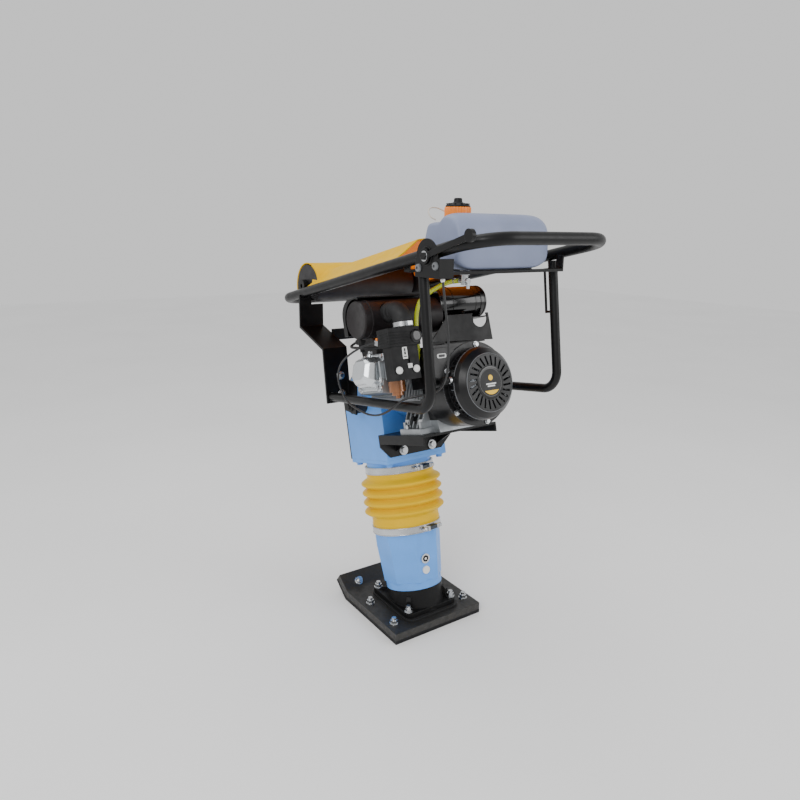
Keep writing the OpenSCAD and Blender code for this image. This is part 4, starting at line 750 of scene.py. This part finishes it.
def make_routes():
    """Cable, lead, hose and tether, each held at both ends, swept smoothly along its own points."""
    for name, route, steps, radius, sides, ref, finish, slot in (
            ("throttle_cable_jacket", THROTTLE, 10, 2.5, 14, (0, 1, 0.35), "cable", "cable_black"),
            ("ht_lead_jacket", LEAD, 10, 3.0, 14, (0, 0, 1), "rubber", "black_rubber"),
            ("fuel_hose_skin", HOSE, 10, 5.0, 20, (0, 1, 0.2), "hose", "hose_yellow"),
            ("cap_tether_loop", TETHER, 8, 1.5, 12, (1, 0, 0), "strap", "white_plastic")):
        piece(name, sweep(smooth_route(route, steps), radius, sides, ref), WORLD, "machine", finish,
            sharp=80, replaces=(name.rsplit("_", 1)[0],))
    ball = knob([(0, -5), (3.2, -4), (4.8, -1), (4.8, 1.5), (3.4, 4.2), (0, 5)], 32)
    piece("cable_ferrule", moved(ball, shift(366, -192, 959)), WORLD, "machine", "white")
    # Hose clips at the tap and at the strainer
    ring = lathe([(5.1, -2.5), (6.1, -2.5), (6.1, 2.5), (5.1, 2.5)], 32)
    for k, (x, y, z, tilt) in enumerate(((268, -83, 947.4, 90), (205.4, -135, 762, 4))):
        piece(f"hose_clip_{k + 1}", moved(ring, shift(x, y, z) @ turn("Y", tilt)), WORLD, "machine", "zinc",
            bevel=0.3)


# ---------- engine ----------
def make_valve_cover():
    """Pressed cover: a flanged seat with four lugs and three chamfered steps with rounded edges."""
    steps = (((42.5, 37.5), 208.6), ((41.2, 36.2), 211), ((40.4, 35.4), 222), ((38.6, 33.8), 226.5),
             ((36, 31), 234), ((33, 28.4), 238), ((28, 24), 244), ((25.5, 21.8), 245.6))
    body = loft([np.column_stack([octagon(*size), np.full(8, z)]) for size, z in steps])
    piece("valve_cover_dome", body, BARREL, "machine", "bright_alloy", bevel=1.6,
        segments=3, sharp=18)
    parts = [prism(octagon(46, 42), 204, 209)]
    parts += [prism(disc(x, y, 9, 32), 204, 209.3) for x in (-41, 41) for y in (-36, 36)]
    piece("valve_cover_flange", merged(*parts), BARREL, "machine", "bright_alloy",
        bevel=1.0, replaces=("valve_cover",))
    breather = knob([(0, 0), (7, 0), (7, 6), (5.5, 8), (5, 14), (0, 14.5)], 32)
    piece("valve_cover_breather", moved(breather, shift(10, 34, 224) @ turn("X", -90)), BARREL, "machine",
        "bright_alloy")


def make_intake_details():
    """Ribs, screws, a blank label and a round plug on the intake box."""
    rib = prism(rounded(22.9, 43.1, 6), -1.3, 1.3)
    ribs = [moved(rib, shift(354, -183, s)) for s in (744, 750, 756, 762, 768)]
    piece("intake_ribs", merged(*ribs), LEG, "machine", "plastic", bevel=0.7)
    cap = knob([(0, 0), (8, 0), (8.4, 1), (8.0, 3.6), (5.5, 5.4), (0, 6)], 40)
    for k, y in enumerate((-205, -159)):
        piece(f"intake_screw_{k + 1}", cap, LEG @ shift(372.2, y, 685) @ TO_REAR, "machine", "white")
    label = LEG @ shift(372.3, -184, 722) @ TO_REAR
    piece("intake_label", prism(rounded(13, 6.5, 1), 0, 0.5), label, "machine", "label")
    marks = [moved(prism(rounded(3.2, 2.2, 0.6, 3), 0.5, 0.8), shift(dx, 0, 0)) for dx in (-7, 0.5)]
    marks.append(moved(prism(rounded(1.2, 4, 0.4, 3), 0.5, 0.8), shift(8, 0, 0)))
    piece("intake_label_marks", merged(*marks), label, "machine", "ink")
    plug = knob([(0, 0), (15, 0), (15, 2), (13, 3.2), (6, 3.4), (0, 3)], 48)
    piece("intake_plug", plug, LEG @ shift(376, -152, 757) @ TO_REAR, "machine", "gloss")


def make_elbow():
    """Moulded rubber elbow from the box's lid into the filter housing, with two beads on its run into the
    housing.
    """
    lid_w, bend_s, bend_r = 354.0, 796.0, 24.0
    up = np.column_stack([np.full(8, lid_w), np.linspace(778, bend_s, 8)])
    bend = arc(lid_w - bend_r, bend_s, bend_r, np.linspace(0, np.pi / 2, 20)[1:])
    run = np.column_stack([np.linspace(329, 301, 10), np.full(10, bend_s + bend_r)])
    path = at_side(np.vstack([up, bend, run]), -168.0)
    radius = np.full(len(path), 21.6)
    radius[[26, 27]] = 22.6
    radius[[31, 32]] = 23.2
    piece("intake_elbow_rubber", sweep(path, radius, 48), LEG, "machine", "rubber", sharp=60,
        replaces=("intake_elbow",))


def make_filter_details():
    """Dished end and rolled rim of the filter housing, and bands on the canister."""
    disc = knob([(0, 0.4), (20, 0.4), (24, 1.6), (36, 2.0), (39, 3.4), (41.5, 3.4), (42.6, 2.2), (43.4, 0.2),
        (43.4, -3), (0, -3)][::-1], 96)
    piece("filter_end", disc, LEG @ shift(260, -228, 812) @ TO_LEFT, "machine", "can")
    band = lathe([(39.6, -1.6), (41.2, -1.2), (41.2, 1.2), (39.6, 1.6)])
    bands = [moved(band, shift(260, y, 838) @ TO_LEFT) for y in (-4, 30, 118, 131)]
    piece("canister_bands", merged(*bands), LEG, "machine", "gloss")
    head = knob([(0, 0), (7, 0), (7, 1.2), (5.4, 1.4), (5.4, 5), (4.6, 5.8), (0, 6)], 6)
    bolts = [moved(head, shift(288, y, 797)) for y in (22, 70)]
    piece("canister_bolts", merged(*bolts), LEG, "machine", "zinc", bevel=0.3)


BADGE_LAYER = (51.9, 52.2)


def make_starter_details():
    """Raised rims and hub of the starter cover, and its badge."""
    centre = LEG @ shift(STARTER_W, 0, ENGINE_S) @ TO_REAR
    rims = [lathe([(66.2, 49.6), (67.6, 49.2), (68.4, 48.0), (66.6, 47.6)]),
        lathe([(84.2, 25.4), (85.6, 24.6), (85.8, 23.0), (84.4, 23.0)]),
        lathe([(97.6, 3.0), (99, 2.6), (99, 1.2), (97.6, 1.0)])]
    # The rims' grey is a painted highlight along the cover's raised edges
    piece("starter_rim_highlights", merged(*rims), centre, "machine", "rim")
    hub = knob([(0, 49.6), (37.6, 49.6), (38.2, 50.6), (37.4, 51.8), (33.5, 52.4), (32.6, 51.6), (0, 51.6)],
        96)
    piece("starter_hub", hub, centre, "machine", "gloss")
    badge = knob([(0, 51.4), (31, 51.4), (31, 52.0), (0, 52.0)], 96)
    piece("starter_badge", badge, centre, "machine", "badge_black")
    # Segment of a circle at the badge's foot and a roundel above its middle; local X points down the leg
    foot = arc(0, 0, 27.5, np.linspace(-0.86, 0.86, 24))
    piece("badge_segment", prism(foot, *BADGE_LAYER), centre, "machine", "badge_yellow")
    piece("badge_roundel", prism(disc(-11, 0, 6.4, 40), *BADGE_LAYER), centre, "machine", "badge_yellow")
    bars = [moved(prism(rounded(1.6, w, 0.6, 3), *BADGE_LAYER), shift(x, 0, 0)) for x,
        w in ((3, 15), (8, 11))]
    piece("badge_bars", merged(*bars), centre, "machine", "label")


def make_pull():
    """Starter grip with a bright collar, its guide, and its rope."""
    place = LEG @ shift(400, -86, 649) @ TO_LEFT
    shape = [(0, 28), (6, 28), (8.6, 26.6), (9.4, 23.5), (9.4, 15.4), (8.6, 12.8), (7.2, 12), (7, 11.4),
        (7, 2), (6, 0.4), (0, 0.2)][::-1]
    piece("grip_body", knob(shape, 48), place, "pull_grip", "plastic",
        replaces=("pull_grip",))
    collar = lathe([(7.05, 3.2), (7.9, 3.6), (7.9, 9.6), (7.05, 10)], 48)
    piece("grip_collar", collar, place, "pull_grip", "zinc")
    sleeve = lathe([(4.6, -10), (8.2, -10), (8.2, -1.6), (7.4, -0.4), (4.6, -0.4)], 48)
    piece("grip_guide", sleeve, place, "machine", "plastic")
    path = np.column_stack([np.zeros(61), np.zeros(61), np.linspace(-9, 3, 61)])
    rope = piece("starter_rope", sweep(path, 2.4, 16), place, None, "braid")
    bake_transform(rope)


def make_engine_details():
    """Raised shroud panel with a blank label, oil filler and drain, and ribs on the casting's foot."""
    panel = np.array([(-118, 640), (-118, 716), (-110, 725), (-66, 725), (-30, 700), (-60, 640)], float)
    outline = np.column_stack([-(panel[:, 1] - ENGINE_S), panel[:, 0]])
    place = LEG @ shift(STARTER_W, 0, ENGINE_S) @ TO_REAR
    piece("shroud_panel", prism(outline[::-1], -0.4, 1.8), place, "machine", "shroud",
        bevel=1.2)
    tag = prism(rounded(5, 13, 4), 1.8, 2.2)
    piece("shroud_label", moved(tag, shift(-74, -92, 0)), place, "machine", "label")
    mark = moved(prism(rounded(3, 9, 2.4), 2.2, 2.4), shift(-74, -92, 0))
    piece("shroud_label_mark", mark, place, "machine", "ink")
    stick = knob([(0, 0), (9, 0), (10.5, 2), (10.5, 6), (9, 8), (6, 9), (5.5, 18), (0, 19)], 24)
    piece("oil_filler", stick, LEG @ shift(236, -78, 560) @ turn("X", 70), "machine", "plastic",
        bevel=0.4)
    drain = knob([(0, 0), (8, 0), (8, 3), (6.4, 3.2), (6.4, 9), (0, 9.6)], 6)
    piece("oil_drain", drain, LEG @ shift(220, -94, 545) @ turn("X", 90), "machine", "zinc",
        bevel=0.4)
    ribs = []
    for w in (196, 214, 232, 250, 268):
        points, faces = prism([(-60, 536), (-96, 541), (-76, 590), (-60, 600)], w - 2, w + 2)
        ribs.append((points[:, [2, 0, 1]], faces))
    piece("block_ribs", merged(*ribs), LEG, "machine", "cast_alloy", bevel=1.0)


# ---------- handle fittings ----------
def make_throttle_details():
    """Recess ring and screws on the throttle's housing, and the lever's nut and washer."""
    place = shift(331, -207, 1004) @ TO_LEFT
    recess = lathe([(16, 0), (18.5, 0), (18.5, 1.1), (17.2, 1.8), (16, 1.1)])
    piece("throttle_recess", recess, place, "machine", "powder")
    socket = lathe([(2.6, 0), (8.6, 0), (8.6, 1.4), (7.4, 4.0), (5.0, 5.2), (2.9, 5.4), (2.6, 3.0)], 40)
    for k, (x, z) in enumerate(((306, 980), (362, 986))):
        piece(f"throttle_screw_{k + 1}", socket, shift(x, -207, z) @ TO_LEFT, "machine", "rim")
    hex_nut = knob([(0, 0), (7.4, 0), (7.9, 0.6), (7.9, 4.2), (7.2, 5.0), (0, 5.4)], 6)
    piece("throttle_nut", moved(hex_nut, shift(0, 0, 4.6)), place, "throttle_lever", "white",
        bevel=0.4)
    washer = knob([(0, 0), (10.6, 0), (10.6, 1.2), (0, 1.2)], 40)
    piece("throttle_washer", moved(washer, shift(0, 0, 6.0)), place, "throttle_lever", "zinc",
        bevel=0.3)


def make_strap_bolts():
    """Two zinc bolts with washers on each front strap's rear face."""
    head = knob([(0, 0), (10, 0), (10, 1.6), (7.6, 1.8), (7.6, 7.4), (6.8, 8.2), (0, 8.4)], 6)
    disc = knob([(0, 0), (11.5, 0), (11.5, 1.8), (0, 1.8)], 40)
    drop, lean, top_x, top_z = 142, 22, -121, 748
    tilt = math.degrees(math.atan2(lean, drop))
    solids = []
    for side in (-1, 1):
        for z in (676, 628):
            x = top_x + lean * (top_z - z) / drop + 3.1
            place = shift(x, side * 158, z) @ turn("Y", 90 - tilt)
            solids += [moved(disc, place), moved(head, place @ shift(0, 0, 1.2))]
    piece("strap_bolts", merged(*solids), WORLD, "machine", "zinc", bevel=0.5)


def make_linkage():
    """Cable end at the engine: a short bright rod, a cable stop and its orange knurled screw."""
    rod = sweep(smooth_route([(150, -215, 806), (160, -211, 806), (172, -206, 803), (184, -200, 799)], 6),
        1.6, 12)
    piece("throttle_rod", rod, WORLD, "machine", "zinc")
    place = shift(160, -211, 800)
    block = prism(rounded(7, 5, 1.2), 0, 12)
    piece("cable_stop", moved(block, place), WORLD, "machine", "zinc", bevel=0.6)
    knurl = knob([(0, 0), (4.6, 0), (5, 0.6), (5, 5), (4.2, 6), (0, 6.2)], 24)
    piece("cable_stop_screw", moved(knurl, place @ shift(0, 0, 11.5)), WORLD, "machine", "orange")


# ---------- add-on ----------
class RammerSettings(bpy.types.PropertyGroup):
    """Sizes and colours a user may change, and the light and lens."""

    enamel: bpy.props.StringProperty(
        name="Enamel", description="sRGB hex code of the blue enamel on the castings", default="#60a2f2")
    bellows_colour: bpy.props.StringProperty(
        name="Bellows", description="sRGB hex code of the bellows", default="#e4b800")
    hood_colour: bpy.props.StringProperty(
        name="Hood", description="sRGB hex code of the hood's outside", default="#e4b400")
    tank_colour: bpy.props.StringProperty(
        name="Tank", description="sRGB hex code of the fuel tank", default="#858ea9")
    shoe_width: bpy.props.FloatProperty(
        name="Shoe width", description="Width of the laminated shoe board", default=0.286, min=0.2,
        unit="LENGTH")
    hood_wall: bpy.props.FloatProperty(
        name="Hood wall", description="Thickness of the hood's moulded wall", default=0.003, min=0.001,
        unit="LENGTH")
    cap_ribs: bpy.props.IntProperty(
        name="Cap ribs", description="Number of grip ribs round the fuel cap", default=26, min=8)
    key_power: bpy.props.FloatProperty(
        name="Key light", description="Power of the large soft light beside the camera",
        default=44.0, min=0.0, unit="POWER")
    fill_power: bpy.props.FloatProperty(
        name="Fill light", description="Power of the soft lights on the far side and above",
        default=18.0, min=0.0, unit="POWER")
    lens: bpy.props.FloatProperty(
        name="Lens", description="Focal length of the camera", default=29.79, min=10.0, unit="CAMERA")


class RAMMER_OT_finishes(bpy.types.Operator):
    """Make the finishes and dress the CAD nodes that stay"""

    bl_idname = "rammer.finishes"
    bl_label = "Finishes"

    def execute(self, context):
        make_finishes(context.scene.rammer)
        dress_nodes()
        return {"FINISHED"}


class RAMMER_OT_shoe(bpy.types.Operator):
    """Build the laminated shoe board"""

    bl_idname = "rammer.shoe"
    bl_label = "Shoe"

    def execute(self, context):
        make_shoe_board(context.scene.rammer.shoe_width / MM)
        return {"FINISHED"}


class RAMMER_OT_leg(bpy.types.Operator):
    """Build the bellows, the clamps' springs and the sight glass"""

    bl_idname = "rammer.leg"
    bl_label = "Leg"

    def execute(self, context):
        make_bellows()
        make_clamp_details()
        make_leg_details()
        return {"FINISHED"}


class RAMMER_OT_hood(bpy.types.Operator):
    """Build the yellow hood over the roller"""

    bl_idname = "rammer.hood"
    bl_label = "Hood"

    def execute(self, context):
        make_hood(context.scene.rammer.hood_wall)
        return {"FINISHED"}


class RAMMER_OT_tank(bpy.types.Operator):
    """Build the fuel tank and its cap"""

    bl_idname = "rammer.tank"
    bl_label = "Tank"

    def execute(self, context):
        make_tank()
        make_cap(context.scene.rammer.cap_ribs)
        return {"FINISHED"}


class RAMMER_OT_engine(bpy.types.Operator):
    """Build the engine's covers, intake, filter and starter details"""

    bl_idname = "rammer.engine"
    bl_label = "Engine"

    def execute(self, context):
        make_valve_cover()
        make_intake_details()
        make_elbow()
        make_filter_details()
        make_starter_details()
        make_pull()
        make_engine_details()
        return {"FINISHED"}


class RAMMER_OT_controls(bpy.types.Operator):
    """Build the cable, hose, lead and the throttle's fittings"""

    bl_idname = "rammer.controls"
    bl_label = "Controls"

    def execute(self, context):
        make_routes()
        make_throttle_details()
        make_strap_bolts()
        make_linkage()
        return {"FINISHED"}


CAMERA_AT = (1.4028, -1.0020, 1.0532)
CAMERA_FORWARD = Vector((-0.79827, 0.54851, -0.24881)).normalized()
CAMERA_RIGHT = Vector((0.563, 0.826, 0.0135))
LIGHT_AIM = Vector((0.1, 0, 0.6))
WORLD_LIGHT = 0.85


def soft_light(name, place, size, power):
    """Square area light that looks at the machine's middle."""
    data = bpy.data.lights.new(name, "AREA")
    data.size = size
    data.energy = power
    light = bpy.data.objects.new(name, data)
    light.location = place
    light.rotation_euler = (LIGHT_AIM - Vector(place)).to_track_quat("-Z", "Y").to_euler()
    bpy.context.scene.collection.objects.link(light)


class RAMMER_OT_stage(bpy.types.Operator):
    """Set the floor, the lights and the camera"""

    bl_idname = "rammer.stage"
    bl_label = "Stage"

    def execute(self, context):
        settings = context.scene.rammer
        mesh = bpy.data.meshes.new("Floor")
        points, faces = sheet(*np.meshgrid((-9, 9), (-9, 9), indexing="ij"), np.zeros((2, 2)))
        mesh.from_pydata(points.tolist(), [], faces)
        floor = bpy.data.objects.new("Floor", mesh)
        context.scene.collection.objects.link(floor)
        g = Finish("floor", "Pale studio floor")
        cloudy = {0: patches(g, 900, 3.0, 0.0, 1.0), 6: linear("#fbfbfb"), 7: linear("#f6f6f6")}
        g.fill(g.shader, {"Base Color": g.node("ShaderNodeMix", cloudy, 2, data_type="RGBA"),
            "Roughness": 0.85})
        mesh.materials.append(FINISHES["floor"])
        world = bpy.data.worlds.new("Studio")
        world.use_nodes = True
        background = world.node_tree.nodes["Background"].inputs
        background["Color"].default_value = linear("#ffffff")
        background["Strength"].default_value = WORLD_LIGHT
        context.scene.world = world
        soft_light("Key", (1.6, -2.4, 2.4), 1.6, settings.key_power)
        soft_light("Fill", (2.2, 1.6, 1.6), 1.4, settings.fill_power)
        soft_light("Top", (-0.4, -0.4, 3.0), 1.8, settings.fill_power)
        right = (CAMERA_RIGHT - CAMERA_FORWARD * CAMERA_RIGHT.dot(CAMERA_FORWARD)).normalized()
        up = right.cross(CAMERA_FORWARD)
        data = bpy.data.cameras.new("Camera")
        data.sensor_width = 36
        data.lens = settings.lens
        camera = bpy.data.objects.new("Camera", data)
        camera.matrix_world = Matrix([*zip(right, up, -CAMERA_FORWARD, CAMERA_AT), (0, 0, 0, 1)])
        context.scene.collection.objects.link(camera)
        context.scene.camera = camera
        return {"FINISHED"}


STEPS = ("finishes", "shoe", "leg", "hood", "tank", "engine", "controls", "stage")


class RAMMER_PT_panel(bpy.types.Panel):
    """The rammer's steps in the sidebar"""

    bl_idname = "RAMMER_PT_panel"
    bl_label = "Jumping Jack Rammer"
    bl_space_type = "VIEW_3D"
    bl_region_type = "UI"
    bl_category = "Rammer"

    def draw(self, context):
        column = self.layout.column()
        for step in STEPS:
            column.operator(f"rammer.{step}")
        for name in RammerSettings.__annotations__:
            column.prop(context.scene.rammer, name)


CLASSES = (RammerSettings, RAMMER_OT_finishes, RAMMER_OT_shoe, RAMMER_OT_leg, RAMMER_OT_hood, RAMMER_OT_tank,
    RAMMER_OT_engine, RAMMER_OT_controls, RAMMER_OT_stage, RAMMER_PT_panel)


def register():
    """Register the classes and the settings."""
    for cls in CLASSES:
        bpy.utils.register_class(cls)
    bpy.types.Scene.rammer = bpy.props.PointerProperty(type=RammerSettings)


def unregister():
    """Remove the settings and the classes."""
    del bpy.types.Scene.rammer
    for cls in reversed(CLASSES):
        bpy.utils.unregister_class(cls)


def main():
    """Register the add-on and run every step in order."""
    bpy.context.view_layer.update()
    register()
    for step in STEPS:
        getattr(bpy.ops.rammer, step)()
    bpy.context.view_layer.update()


if __name__ == "__main__":
    main()
